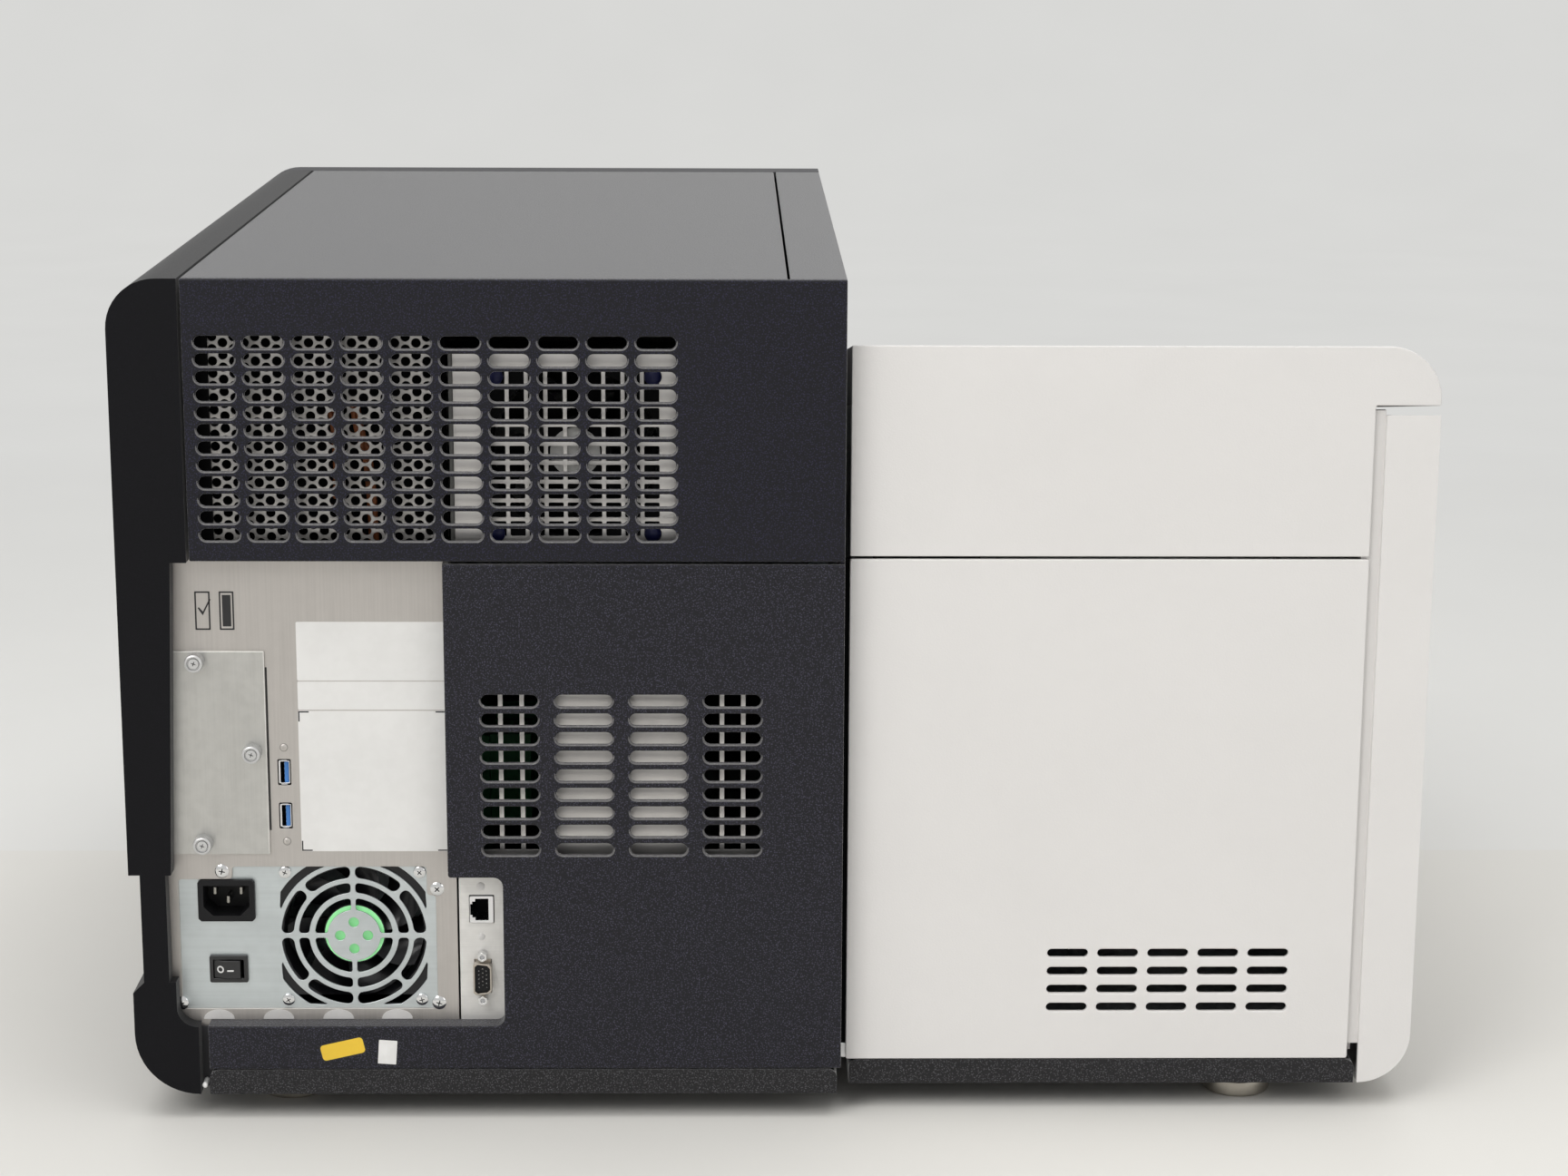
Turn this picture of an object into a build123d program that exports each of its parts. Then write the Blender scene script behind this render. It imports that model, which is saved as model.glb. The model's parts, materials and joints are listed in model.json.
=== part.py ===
"""Benchtop sequencer: a black computer section beside a white, lower fluidics section.

Frame in millimetres: origin on the bench under the middle, +X to the right seen from the front,
+Y to the rear, +Z up. The rear carries the power, network and vent panels.
"""
from build123d import *
from math import cos, radians, tan
import os

os.makedirs("parts", exist_ok=True)

# ---- Overall size -------------------------------------------------------------------------
WIDTH = 686.0
DEPTH = 580.0
HEIGHT = 453.0
FOOT_HEIGHT = 14.0
SPLIT_X = -34.0             # outer face of the wall between the two sections
SECTION_GAP = 3.0           # open gap between the black and the white section
WHITE_SETBACK_REAR = 14.0   # the white rear face lies this far in front of the black one
WHITE_SETBACK_FRONT = 2.0
WHITE_STEP = 35.5           # the white top's rear edge lies this far under the black top
WHITE_TOP_SLOPE = 10.0      # degrees that the white top falls toward the front

# ---- Sheet and wall thicknesses, gaps -------------------------------------------------------
COVER_T = 3.0               # moulded covers
SHEET_T = 1.5               # folded sheet metal
TOP_SHEET_T = 2.0
SEAM = 1.5                  # open seam between neighbouring covers
RUN = 0.3                   # clearance between pieces that move past each other
SHAFT_CLEARANCE = 0.05      # radial clearance of a pin in its bore
LIP_GAP = 0.5               # side cover's bottom lip to the tray

# ---- Black section outline ------------------------------------------------------------------
TOP_CORNER_R = 26.0
LOW_CORNER_R = 34.0
BEZEL_DEPTH = 28.0
BEZEL_EDGE = 4.0            # chamfer round the bezel's front
TOP_FLANGE_W = 36.6         # side cover flange seen from the rear, above the input panel
SEAM_DROP = 147.5           # top of the body to the horizontal seam across both rear sections
TOP_LAP_W = 29.0            # strip of the divider that the top cover laps onto
TOP_LIP_H = 14.0            # folded rear lip of the top cover
NOTCH_LOW_Z, NOTCH_HIGH_Z = 77.0, 136.6       # finger notch in the side cover's rear corner
NOTCH_INSET = 6.0
NOTCH_DEPTH = 35.0
NOTCH_COLUMN_W = 19.5
GROOVE_HALF = 2.5           # groove between the lower cover and the side cover's corner
OPENING_LEFT_W = 23.0       # side cover's edge at the foot of the input opening
OPENING_LEFT_R = 10.5

# ---- White section outline --------------------------------------------------------------------
WHITE_CORNER_R = 28.0
WHITE_INNER_CHAMFER = 0.72   # chamfer inside the corner, as a share of its inner radius
WHITE_FRONT_R = 70.0        # round between the sloping top and the front
WHITE_FLANGE_W = 28.0       # side cover flange seen from the rear
WHITE_GROOVE_W = 6.0
WHITE_BAND_H = 31.0         # depth of the top cover's side band at the rear
WHITE_GROOVE_H = 5.0
WHITE_GROOVE_DEPTH = 3.5

# ---- Base -------------------------------------------------------------------------------------
TRAY_H = 13.5
TRAY_CORNER_R = 5.0
TRAY_RIBS = 4
TRAY_RIB_HALF = 8.0
BASEPLATE_T = 8.0
FOOT_R = 17.0
FOOT_DISC_H = 9.0
FOOT_INSET_X = 78.0         # black feet from the outer side
FOOT_SHIFT_X = 11.0         # the white feet stand this much further in
FOOT_INSET_Y = 46.0
FOOT_STEM_R = 5.0

# ---- Rear input panel ---------------------------------------------------------------------------
RECESS = 12.0               # input panel behind the black rear face
OPENING_W = 160.6           # side seam to the far edge of the lower cover's cut-out
PANEL_OPENING_W = 131.7     # side seam to the cut-out's edge above the port strip
OPENING_TOP_Z = 135.0       # top of the cut-out over the port strip
LEDGE_Z = 52.0              # ledge under the power supply
OPENING_CORNER_R = 5.0
PORT_STRIP_W = 24.7         # port strip seen in the opening
PANEL_HIDDEN = 6.0          # metal hidden behind the covers beside each opening
PANEL_OVERLAP = 12.0        # input panel above the seam

# ---- Power supply, standard 150 x 86 mm face ------------------------------------------------------
PSU_W, PSU_H, PSU_D = 150.0, 86.0, 140.0
PSU_INSET_X = 0.8           # power supply's low-X side from the opening's edge
PSU_Z = 55.2
PSU_WALL = 1.2
PSU_SCREWS = [(6.0, 6.0), (144.0, 6.0), (6.0, 70.0), (120.0, 80.0)]
PSU_SCREW_R, PSU_SCREW_H = 3.5, 1.8
FAN_SCREW_R, FAN_SCREW_H = 2.7, 1.3
PSU_FAN_AT = (51.0, 43.4)   # fan centre from the face's lower corner
PSU_FAN_SIZE = 80.0
PSU_FAN_PITCH = 71.5
FAN_DEPTH = 25.0
GRILLE_RINGS = [(15.8, 20.8), (23.9, 29.4), (32.1, 38.7)]   # inner and outer radius of each ring
GRILLE_RING_BARS = [2, 2, 4]
GRILLE_CRESCENT = (41.3, 45.5)
GRILLE_BAR = 2.6
GRILLE_HALF = 39.0
GRILLE_HUB_HOLES = (2.75, 7.4)
INLET_AT = (118.1, 63.7)
INLET_SIZE = (30.2, 23.0)
INLET_BODY = (27.0, 19.6)
INLET_FLANGE_T = 2.5
INLET_CAVITY = (24.3, 16.6)
INLET_CAVITY_DEPTH = 17.0
SWITCH_AT = (118.1, 25.2)
SWITCH_SIZE = (20.4, 15.1)
SWITCH_BODY = (18.0, 13.0)
SWITCH_FLANGE_T = 2.0
ROCKER_SIZE = (14.8, 10.2)
ROCKER_TILT = 8.0

# ---- Vents: columns and rows, their pitches, slot length and height -----------------------------------
UPPER_VENT_COUNT, UPPER_VENT_PITCH, UPPER_SLOT = (10, 12), (25.0, 9.1), (20.4, 6.6)
LOWER_VENT_COLUMNS, LOWER_VENT_PITCH, LOWER_SLOT = 4, (38.9, 10.13), (29.9, 6.9)
WHITE_VENT_COUNT, WHITE_VENT_PITCH, WHITE_SLOT = (5, 4), (27.0, 10.2), (22.0, 4.9)
UPPER_VENT_AT = (130.4, 82.6)       # vent centre in from the side seam and down from the top
LOWER_VENT_INSET_X = 92.1           # vent centre in from the panel opening's edge
LOWER_VENT_RISE = 15.6              # lowest row over the opening above the port strip
LOWER_VENT_DROP = 73.6              # highest row under the side seam
WHITE_VENT_AT = (99.0, 45.2)        # vent centre in from the panel's outer edge and up from the tray

# ---- Rear fan -----------------------------------------------------------------------------------------
REAR_FAN_AT = (200.4, 92.2)         # fan centre in from the side seam and down from the top
REAR_FAN_SIZE = 92.0
GUARD_PITCH = 15.0
GUARD_BAR = 2.4
GUARD_CELLS = 5
SHIELD_W = 134.0                    # perforated shield, in from the side seam
SHIELD_TOP_GAP = 25.0
SHIELD_HOLE = 15.0
SHIELD_PITCH = 26.0

# ---- Ports ----------------------------------------------------------------------------------------------
PLATE_INSET_X = (38.9, -14.6)       # access plate's two sides, in from the side seam
PLATE_ABOVE_PSU = 6.0
PLATE_UNDER_SEAM = 47.3
PLATE_T = 1.6
THUMB_R, THUMB_H, THUMB_SHANK_R = 5.2, 7.5, 2.0
THUMB_GRIP = 6.0                    # shank behind the panel
USB_SIZE = (6.6, 13.8)
USB_DEPTH = 16.0
USB_INSET_X = 7.7                   # sockets beside the access plate
USB_RISE = (20.5, 44.2)             # socket centres over the plate's lower edge
USB_WALL = 0.5
RIVET_R, RIVET_H = 2.0, 0.8
RIVET_RISE = (7.6, 58.7)
JACK_RISE, JACK_SIZE, JACK_DEPTH = 62.0, (12.6, 14.9), 17.0
VIDEO_RISE, VIDEO_SIZE, VIDEO_POST_PITCH = 24.3, (8.6, 18.4), 25.0
PORT_CLEARANCE = 0.3

# ---- Display --------------------------------------------------------------------------------------------
SCREEN_MARGIN = 33.5                # screen's sides in from the black section's sides
SCREEN_H = 234.0
SCREEN_DROP = 153.0                 # screen centre under the top
SCREEN_LAP = 6.0                    # glass behind the bezel's window edge
GLASS_T, MONITOR_T = 3.0, 18.0
STATUS_W = 8.0
STATUS_INSET = 12.0
FRONT_USB_INSET, FRONT_USB_Z = 62.0, 96.0

# ---- Inside the black section --------------------------------------------------------------------------------
SHELF_DROP = 43.5                   # shelf under the seam
OPTICS_H, OPTICS_WALL = 110.0, 8.0
BOARD_LENGTH, BOARD_T = 232.5, 1.6
DRIVE_LENGTH = 138.0

# ---- White section, measured back from its front face ----------------------------------------------------
DOOR_DEPTH = 45.0                   # doors' side bands
UPPER_DOOR_DEPTH = 256.0            # rear edge of the upper door
SIDE_COVER_GAP = 3.5
DOOR_PIVOT_INSET = 10.0
DOOR_PIVOT_DROP = 6.5
DOOR_REAR_GAP = 3.4                 # room for the door's rear edge to turn
KNUCKLE_R = 3.0
PIN_R = 2.0
PIN_SIDES = 12
LOWER_PIVOT_INSET = (5.2, 4.5)      # lower door's pin from the outer side and from the band's rear edge
LUG_W, LUG_H = 10.7, 10.0
POST_W = 4.0

# ---- Flow cell compartment ------------------------------------------------------------------------------
DECK_DROP = 93.05                   # deck under the white top's front edge
DECK_T = 5.0
PUMP_RISE = 14.5                    # syringes' foot over the baseplate
PUMP_DROP = 35.0                    # syringes' head under the deck
STAGE_SIZE = (110.0, 90.0, 20.0)
STAGE_INSET = (64.0, 98.0)          # stage from the liner's outer side and from the front face
RAIL = 8.0
RAIL_INSET = (10.0, 80.0)           # rails in from the stage's front
CLAMP_W, CLAMP_T, CLAMP_PIN_R = 60.0, 3.0, 1.6
BUTTON_R, BUTTON_SIDES = 5.0, 20
HEAD_W, HEAD_GAP = 64.0, 16.0

# ---- Reagent compartment --------------------------------------------------------------------------------
SKIRT_Z = 36.0
LINER_T = 2.0
LINER_INSET = (9.0, 8.0)            # liner from the outer side and from the inner wall
LINER_FRONT_GAP = 9.0
LINER_DEPTH = 254.0
CHILLER_SIZE = (128.0, 168.0, 102.5)
CHILLER_INSET = (16.0, 66.0)        # chiller from the liner's outer side and front
CHILLER_WALL = 12.0
CHILLER_DOOR_T = 6.0
BARREL_R = 3.6
EAR_T = 4.0
SIPPER_T = 8.0
SIPPER_DROP = 35.0                  # raised manifold's underside under the deck
NEEDLE_PITCH, NEEDLE_R, NEEDLE_HOLE = 30.0, 1.2, 3.5
NEEDLE_GAP = 2.0                    # raised needles over the chiller
GUIDE_R = 4.0
HANDLE_R, HANDLE_REACH = 7.0, 38.0
BOTTLE_W = 80.0
BOTTLE_INSET = (107.0, 84.0)        # bottle from the liner's inner side and front
BOTTLE_DROP = 43.5                  # cap's top under the deck
BOTTLE_R = 12.0

# ---- Derived places ---------------------------------------------------------------------------------------
X_OUT = WIDTH / 2
Y_REAR = DEPTH / 2
Y_FRONT = -DEPTH / 2
Y_BEZEL = Y_FRONT + BEZEL_DEPTH
COVER_Y = Y_REAR - COVER_T                    # inner face of the black rear covers
PANEL_Y = Y_REAR - RECESS                     # outer face of the input panel
FACE_Y = PANEL_Y - SHEET_T                    # outer face of the power supply
FLANGE_Y = PANEL_Y + PLATE_T + RUN            # side cover's rear flange clears the access plate
TRAY_TOP = FOOT_HEIGHT + TRAY_H
PANEL_BOTTOM = TRAY_TOP + LIP_GAP
BASE_TOP = TRAY_TOP + BASEPLATE_T
SEAM_Z = HEIGHT - SEAM_DROP
SIDE_SEAM_X = X_OUT - TOP_FLANGE_W            # side cover's flange edge
GROOVE_X = (SIDE_SEAM_X - GROOVE_HALF, SIDE_SEAM_X + GROOVE_HALF)
OPENING_LEFT_X = X_OUT - OPENING_LEFT_W
OPENING_RIGHT_X = SIDE_SEAM_X - OPENING_W
PANEL_EDGE_X = SIDE_SEAM_X - PANEL_OPENING_W
STRIP_SPLIT_X = OPENING_RIGHT_X + PORT_STRIP_W
PANEL_FAR_X = X_OUT - PANEL_HIDDEN * 2
INNER_X = SPLIT_X + SHEET_T + 1.0             # inner face of the divider
TOP_SEAM_X = SPLIT_X + TOP_LAP_W
WHITE_REAR_Y = Y_REAR - WHITE_SETBACK_REAR
WHITE_FRONT_Y = Y_FRONT + WHITE_SETBACK_FRONT
WHITE_REAR_HEIGHT = HEIGHT - WHITE_STEP
WHITE_X = SPLIT_X - SECTION_GAP
WHITE_FLANGE_X = -X_OUT + WHITE_FLANGE_W
WHITE_PANEL_X = WHITE_FLANGE_X + WHITE_GROOVE_W
DOOR_FRONT_Y = WHITE_FRONT_Y + DOOR_DEPTH     # rear edge of the doors' side bands
UPPER_DOOR_REAR_Y = WHITE_FRONT_Y + UPPER_DOOR_DEPTH


def white_top_z(y):
    """Height of the white section's sloping top at a depth y."""
    return WHITE_REAR_HEIGHT - (WHITE_REAR_Y - y) * tan(radians(WHITE_TOP_SLOPE))


PSU_X = PANEL_EDGE_X + PSU_INSET_X
PSU_TOP = PSU_Z + PSU_H
FAN_X, FAN_Z = PSU_X + PSU_FAN_AT[0], PSU_Z + PSU_FAN_AT[1]
INLET_X, INLET_Z = PSU_X + INLET_AT[0], PSU_Z + INLET_AT[1]
SWITCH_X, SWITCH_Z = PSU_X + SWITCH_AT[0], PSU_Z + SWITCH_AT[1]
ROCKER_PIVOT_Y = FACE_Y - 3.0
REAR_FAN_X, REAR_FAN_Z = SIDE_SEAM_X - REAR_FAN_AT[0], HEIGHT - REAR_FAN_AT[1]
PLATE_X = (SIDE_SEAM_X - PLATE_INSET_X[0], SIDE_SEAM_X - PLATE_INSET_X[1])
PLATE_Z = (PSU_TOP + PLATE_ABOVE_PSU, SEAM_Z - PLATE_UNDER_SEAM)
THUMB_AT = [(PLATE_X[0] + 37.7, PLATE_Z[1] - 7.3), (PLATE_X[0] + 9.3, sum(PLATE_Z) / 2 - 1.1),
            (PLATE_X[0] + 36.6, PLATE_Z[0] + 4.5)]
USB_X = PLATE_X[0] - USB_INSET_X
JACK_AT = (OPENING_RIGHT_X + 12.2, LEDGE_Z + JACK_RISE)
VIDEO_AT = (OPENING_RIGHT_X + 12.0, LEDGE_Z + VIDEO_RISE)
SCREEN_X, SCREEN_Z = (SPLIT_X + X_OUT) / 2, HEIGHT - SCREEN_DROP
SCREEN_W = X_OUT - SPLIT_X - 2 * SCREEN_MARGIN
STATUS_X = SPLIT_X + STATUS_INSET
FRONT_USB_AT = (X_OUT - FRONT_USB_INSET, FRONT_USB_Z)
SHELF_Z = SEAM_Z - SHELF_DROP
DECK_Z = white_top_z(WHITE_FRONT_Y) - DECK_DROP
DECK_TOP = DECK_Z + DECK_T
LINER_X = (-X_OUT + LINER_INSET[0], WHITE_X - LINER_INSET[1])
LINER_Y = (DOOR_FRONT_Y + LINER_FRONT_GAP, DOOR_FRONT_Y + LINER_FRONT_GAP + LINER_DEPTH)
FLOOR_Z = BASE_TOP + LINER_T
CHILLER_X = (LINER_X[0] + CHILLER_INSET[0], LINER_X[0] + CHILLER_INSET[0] + CHILLER_SIZE[0])
CHILLER_Y = (LINER_Y[0] + CHILLER_INSET[1], LINER_Y[0] + CHILLER_INSET[1] + CHILLER_SIZE[1])
CHILLER_TOP = FLOOR_Z + CHILLER_SIZE[2]
UPPER_PIVOT = (UPPER_DOOR_REAR_Y - DOOR_PIVOT_INSET,
               white_top_z(UPPER_DOOR_REAR_Y - DOOR_PIVOT_INSET) - DOOR_PIVOT_DROP)
LOWER_PIVOT = (-X_OUT + LOWER_PIVOT_INSET[0], DOOR_FRONT_Y - LOWER_PIVOT_INSET[1])
CHILLER_PIVOT = (CHILLER_Y[0] - BARREL_R - 0.9, FLOOR_Z + BARREL_R + 0.9)
SIPPER_Z = DECK_Z - SIPPER_DROP
POST_X = [(-X_OUT + 25.0, -X_OUT + 25.0 + POST_W), (LINER_X[1] - 1 - POST_W, LINER_X[1] - 1)]
UPPER_LUGS = [(POST_X[0][1] + RUN, POST_X[0][1] + RUN + LUG_W), (POST_X[1][0] - RUN - LUG_W, POST_X[1][0] - RUN)]
LOWER_DOOR_Z = (SKIRT_Z + 2.0, DECK_Z - 1.0)
STAGE_X, STAGE_Y = LINER_X[0] + STAGE_INSET[0], WHITE_FRONT_Y + STAGE_INSET[1]
STAGE_Z = DECK_TOP + RAIL
STAGE_TOP = STAGE_Z + STAGE_SIZE[2]
CLAMP_X = (STAGE_X + 20, STAGE_X + 20 + CLAMP_W)
CLAMP_PIVOT = (STAGE_Y + STAGE_SIZE[1] - 8, STAGE_TOP + 4.0)
BUTTON_AT = (STAGE_X + STAGE_SIZE[0] - 14, STAGE_Y + 40)


# ---- Shape helpers ----------------------------------------------------------------------------------------
def block(x0, x1, y0, y1, z0, z1):
    """Box between two opposite corners."""
    middle = Pos((x0 + x1) / 2, (y0 + y1) / 2, (z0 + z1) / 2)
    return middle * Box(x1 - x0, y1 - y0, z1 - z0)


def rod_x(x0, x1, y, z, r):
    """Cylinder along X."""
    return Pos((x0 + x1) / 2, y, z) * Rot(0, 90, 0) * Cylinder(r, x1 - x0)


def rod_z(x, y, z0, z1, r):
    """Cylinder along Z."""
    return Pos(x, y, (z0 + z1) / 2) * Cylinder(r, z1 - z0)


def prism_x(x0, x1, y, z, r, sides):
    """Level prism with a regular section, along X."""
    return sideways(Pos(y, z) * RegularPolygon(r, sides), x0, x1)


def prism_z(x, y, z0, z1, r, sides):
    """Upright prism with a regular section."""
    return Pos(x, y, z0) * extrude(RegularPolygon(r, sides), amount=z1 - z0)


def upright(sketch, y0, y1):
    """Sketch drawn in X and Z, as a plate between two depths."""
    plane = Plane(origin=(0, y1, 0), x_dir=(1, 0, 0), z_dir=(0, -1, 0))
    return extrude(plane * sketch, amount=y1 - y0, dir=(0, -1, 0))


def sideways(sketch, x0, x1):
    """Sketch drawn in Y and Z, as a plate between two X positions."""
    plane = Plane(origin=(x0, 0, 0), x_dir=(0, 1, 0), z_dir=(1, 0, 0))
    return extrude(plane * sketch, amount=x1 - x0, dir=(1, 0, 0))


def rect(x0, x1, z0, z1):
    """Rectangle between two corners."""
    return Pos((x0 + x1) / 2, (z0 + z1) / 2) * Rectangle(x1 - x0, z1 - z0)


def corners(sketch, x, z):
    """Vertices of a sketch at one place."""
    return [v for v in sketch.vertices() if abs(v.X - x) < 0.01 and abs(v.Y - z) < 0.01]


def pierced(outline, holes):
    """Face with one inner boundary for each hole."""
    return Face(outline.face().outer_wire(), [hole.face().outer_wire() for hole in holes])


def vent(x, z, count, pitch, slot):
    """Every slot of one vent, in X and Z."""
    return [Pos(x, z) * spot * Rectangle(*slot) for spot in GridLocations(*pitch, *count)]


FAN_SIDES = 24


def fan_frame(x, z, size, y0, y1, pitch):
    """Square fan housing with a bore, four screw holes and its motor mount and struts."""
    bore = size / 2 - 2.0
    holes = [Pos(x, z) * spot * Rectangle(4.0, 4.0) for spot in GridLocations(pitch, pitch, 2, 2)]
    ring = Pos(x, z) * RegularPolygon(bore, FAN_SIDES)
    body = upright(pierced(Pos(x, z) * Rectangle(size, size), [ring, *holes]), y0, y1)
    struts = Rectangle(2 * bore, 4.0) + Rectangle(4.0, 2 * bore) + RegularPolygon(size * 0.19, FAN_SIDES // 2)
    return body + upright(Pos(x, z) * struts, y0, y0 + 3.0)


def fan_rotor(x, z, size, y0, y1, blades):
    """Fan hub with pitched blades, turning about Y."""
    hub_r = size * 0.2
    reach = size / 2 - 4.0
    turn = upright(RegularPolygon(hub_r, FAN_SIDES), -(y1 - y0) / 2, (y1 - y0) / 2)
    turn += upright(Circle(size * 0.05), (y1 - y0) / 2, (y1 - y0) / 2 + 0.6)
    chord = (y1 - y0) * 0.8
    blade = Pos((hub_r + reach) / 2, 0, 0) * Rot(38, 0, 0) * Box(reach - hub_r + 2.0, chord, 1.6)
    for index in range(blades):
        turn += Rot(0, index * 360 / blades, 0) * blade
    return Pos(x, (y0 + y1) / 2, z) * turn


# ---- Base ---------------------------------------------------------------------------------------------------
FEET_Y = (FOOT_INSET_Y - Y_REAR, Y_REAR - FOOT_INSET_Y)
FEET_WHITE = [(-X_OUT + FOOT_INSET_X + FOOT_SHIFT_X, y) for y in FEET_Y]
FEET_BLACK = [(X_OUT - FOOT_INSET_X, y) for y in FEET_Y]


def tray(x0, x1, y0, y1, feet):
    """Sheet pan with a folded rim, cross ribs and a hole for each foot's stem."""
    outline = rect(x0, x1, FOOT_HEIGHT, TRAY_TOP)
    outline = fillet(outline.vertices().group_by(Axis.Y)[-1], TRAY_CORNER_R)
    pan = upright(outline, y0, y1)
    floor = FOOT_HEIGHT + SHEET_T
    pan -= block(x0 + SHEET_T, x1 - SHEET_T, y0 + SHEET_T, y1 - SHEET_T, floor, TRAY_TOP + 1)
    for index in range(TRAY_RIBS):
        y = y0 + (y1 - y0) * (index + 0.5) / TRAY_RIBS
        pan += block(x0 + SHEET_T, x1 - SHEET_T, y - TRAY_RIB_HALF, y + TRAY_RIB_HALF, floor, TRAY_TOP)
    for x, y in feet:
        pan -= prism_z(x, y, FOOT_HEIGHT - 1, TRAY_TOP + 1, FOOT_STEM_R + 2 * RUN, 8)
    return pan


def base_tray_black():
    return tray(SPLIT_X + 2.0, GROOVE_X[0], Y_BEZEL, Y_REAR, FEET_BLACK)


def base_tray_white():
    return tray(WHITE_FLANGE_X + 2.0, WHITE_X - 1.8, WHITE_FRONT_Y + COVER_T + RUN, WHITE_REAR_Y, FEET_WHITE)


def baseplate():
    """Aluminium plate that lies on both trays and carries everything."""
    x0, x1 = WHITE_FLANGE_X + 5.0, GROOVE_X[0] - 4.0
    plate = block(x0, x1, Y_BEZEL + 2, WHITE_REAR_Y - COVER_T - 1, TRAY_TOP, BASE_TOP)
    return plate + block(SPLIT_X + 6, x1, 0, PANEL_Y + 1, TRAY_TOP, BASE_TOP)


def leveling_feet():
    """Four metal feet with a stem up to the baseplate."""
    feet = []
    for x, y in FEET_WHITE + FEET_BLACK:
        foot = prism_z(x, y, 0, FOOT_DISC_H, FOOT_R, 20)
        foot += prism_z(x, y, FOOT_DISC_H, FOOT_HEIGHT, FOOT_R * 0.6, 12)
        feet.append(foot + prism_z(x, y, FOOT_HEIGHT, TRAY_TOP, FOOT_STEM_R, 8))
    return Compound(children=feet)


# ---- Black section covers ---------------------------------------------------------------------------------
def black_outline(inset=0.0):
    """Section of the black body in X and Z, rounded on its outer side."""
    x0, x1 = SPLIT_X, X_OUT - inset
    z0, z1 = FOOT_HEIGHT + inset, HEIGHT - inset
    shape = rect(x0, x1, z0, z1)
    shape = fillet(corners(shape, x1, z1), TOP_CORNER_R - inset)
    return fillet(corners(shape, x1, z0), LOW_CORNER_R - inset)


def black_side_cover():
    """Wrap-round side cover with its rear flange, finger notch and lower corner."""
    skin = black_outline() - black_outline(COVER_T)
    above = rect(SIDE_SEAM_X, X_OUT + 1, SEAM_Z, HEIGHT + 1)
    cover = upright(skin & (above + rect(GROOVE_X[0] + LIP_GAP, X_OUT + 1, 0, SEAM_Z)), Y_BEZEL + SEAM, PANEL_Y)
    cover += upright(skin & (above + rect(GROOVE_X[1], X_OUT + 1, 0, SEAM_Z)), PANEL_Y, FLANGE_Y)
    top = rect(SIDE_SEAM_X, X_OUT, SEAM_Z, HEIGHT)
    middle = Polygon((SIDE_SEAM_X + 8.5, SEAM_Z), (X_OUT, SEAM_Z), (X_OUT, NOTCH_HIGH_Z),
                     (OPENING_LEFT_X + 0.5, NOTCH_HIGH_Z), align=None)
    column = rect(X_OUT - NOTCH_COLUMN_W, X_OUT - NOTCH_INSET, NOTCH_LOW_Z, NOTCH_HIGH_Z)
    lower = Polygon((GROOVE_X[1], FOOT_HEIGHT), (X_OUT, FOOT_HEIGHT), (X_OUT, NOTCH_LOW_Z),
                    (OPENING_LEFT_X, NOTCH_LOW_Z), (OPENING_LEFT_X, LEDGE_Z), (GROOVE_X[1], LEDGE_Z),
                    align=None)
    lower = fillet(corners(lower, OPENING_LEFT_X, LEDGE_Z), OPENING_LEFT_R)
    cover += upright((top + middle + column + lower) & black_outline(), FLANGE_Y, Y_REAR)
    low = NOTCH_LOW_Z - NOTCH_INSET - 1
    cover += block(X_OUT - NOTCH_INSET - COVER_T, X_OUT - COVER_T, Y_REAR - NOTCH_DEPTH - COVER_T, FLANGE_Y,
                   low - COVER_T, NOTCH_HIGH_Z + COVER_T)
    notch = Polygon((X_OUT - NOTCH_INSET, NOTCH_LOW_Z), (X_OUT + 1, low), (X_OUT + 1, NOTCH_HIGH_Z),
                    (X_OUT - NOTCH_INSET, NOTCH_HIGH_Z), align=None)
    return cover - upright(notch, Y_REAR - NOTCH_DEPTH, Y_REAR + 1)


def top_cover():
    """Flat top sheet with a folded rear lip."""
    x0, x1 = TOP_SEAM_X + SEAM, SIDE_SEAM_X - SEAM
    sheet = block(x0, x1, Y_BEZEL + SEAM, COVER_Y, HEIGHT - TOP_SHEET_T, HEIGHT)
    return sheet + block(x0, x1, COVER_Y - SHEET_T, COVER_Y, HEIGHT - TOP_LIP_H, HEIGHT - TOP_SHEET_T)


def divider_panel():
    """Wall between the sections, with a top strip beside the top cover."""
    wall = block(SPLIT_X, INNER_X, Y_BEZEL + SEAM, COVER_Y, BASE_TOP, HEIGHT)
    return wall + block(INNER_X, TOP_SEAM_X, Y_BEZEL + SEAM, COVER_Y, HEIGHT - TOP_SHEET_T, HEIGHT)


def rear_cover_upper():
    """Upper rear cover with its field of vent slots."""
    outline = rect(SPLIT_X, SIDE_SEAM_X - SEAM, SEAM_Z + SEAM / 2, HEIGHT)
    slots = vent(SIDE_SEAM_X - UPPER_VENT_AT[0], HEIGHT - UPPER_VENT_AT[1], UPPER_VENT_COUNT,
                 UPPER_VENT_PITCH, UPPER_SLOT)
    return upright(pierced(outline, slots), COVER_Y, Y_REAR)


LOWER_VENT_X = PANEL_EDGE_X - LOWER_VENT_INSET_X
LOWER_VENT_SPAN = (OPENING_TOP_Z + LOWER_VENT_RISE, SEAM_Z - LOWER_VENT_DROP)
LOWER_VENT_Z = sum(LOWER_VENT_SPAN) / 2
LOWER_VENT_ROWS = 1 + round((LOWER_VENT_SPAN[1] - LOWER_VENT_SPAN[0]) / LOWER_VENT_PITCH[1] - 0.3)


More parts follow.
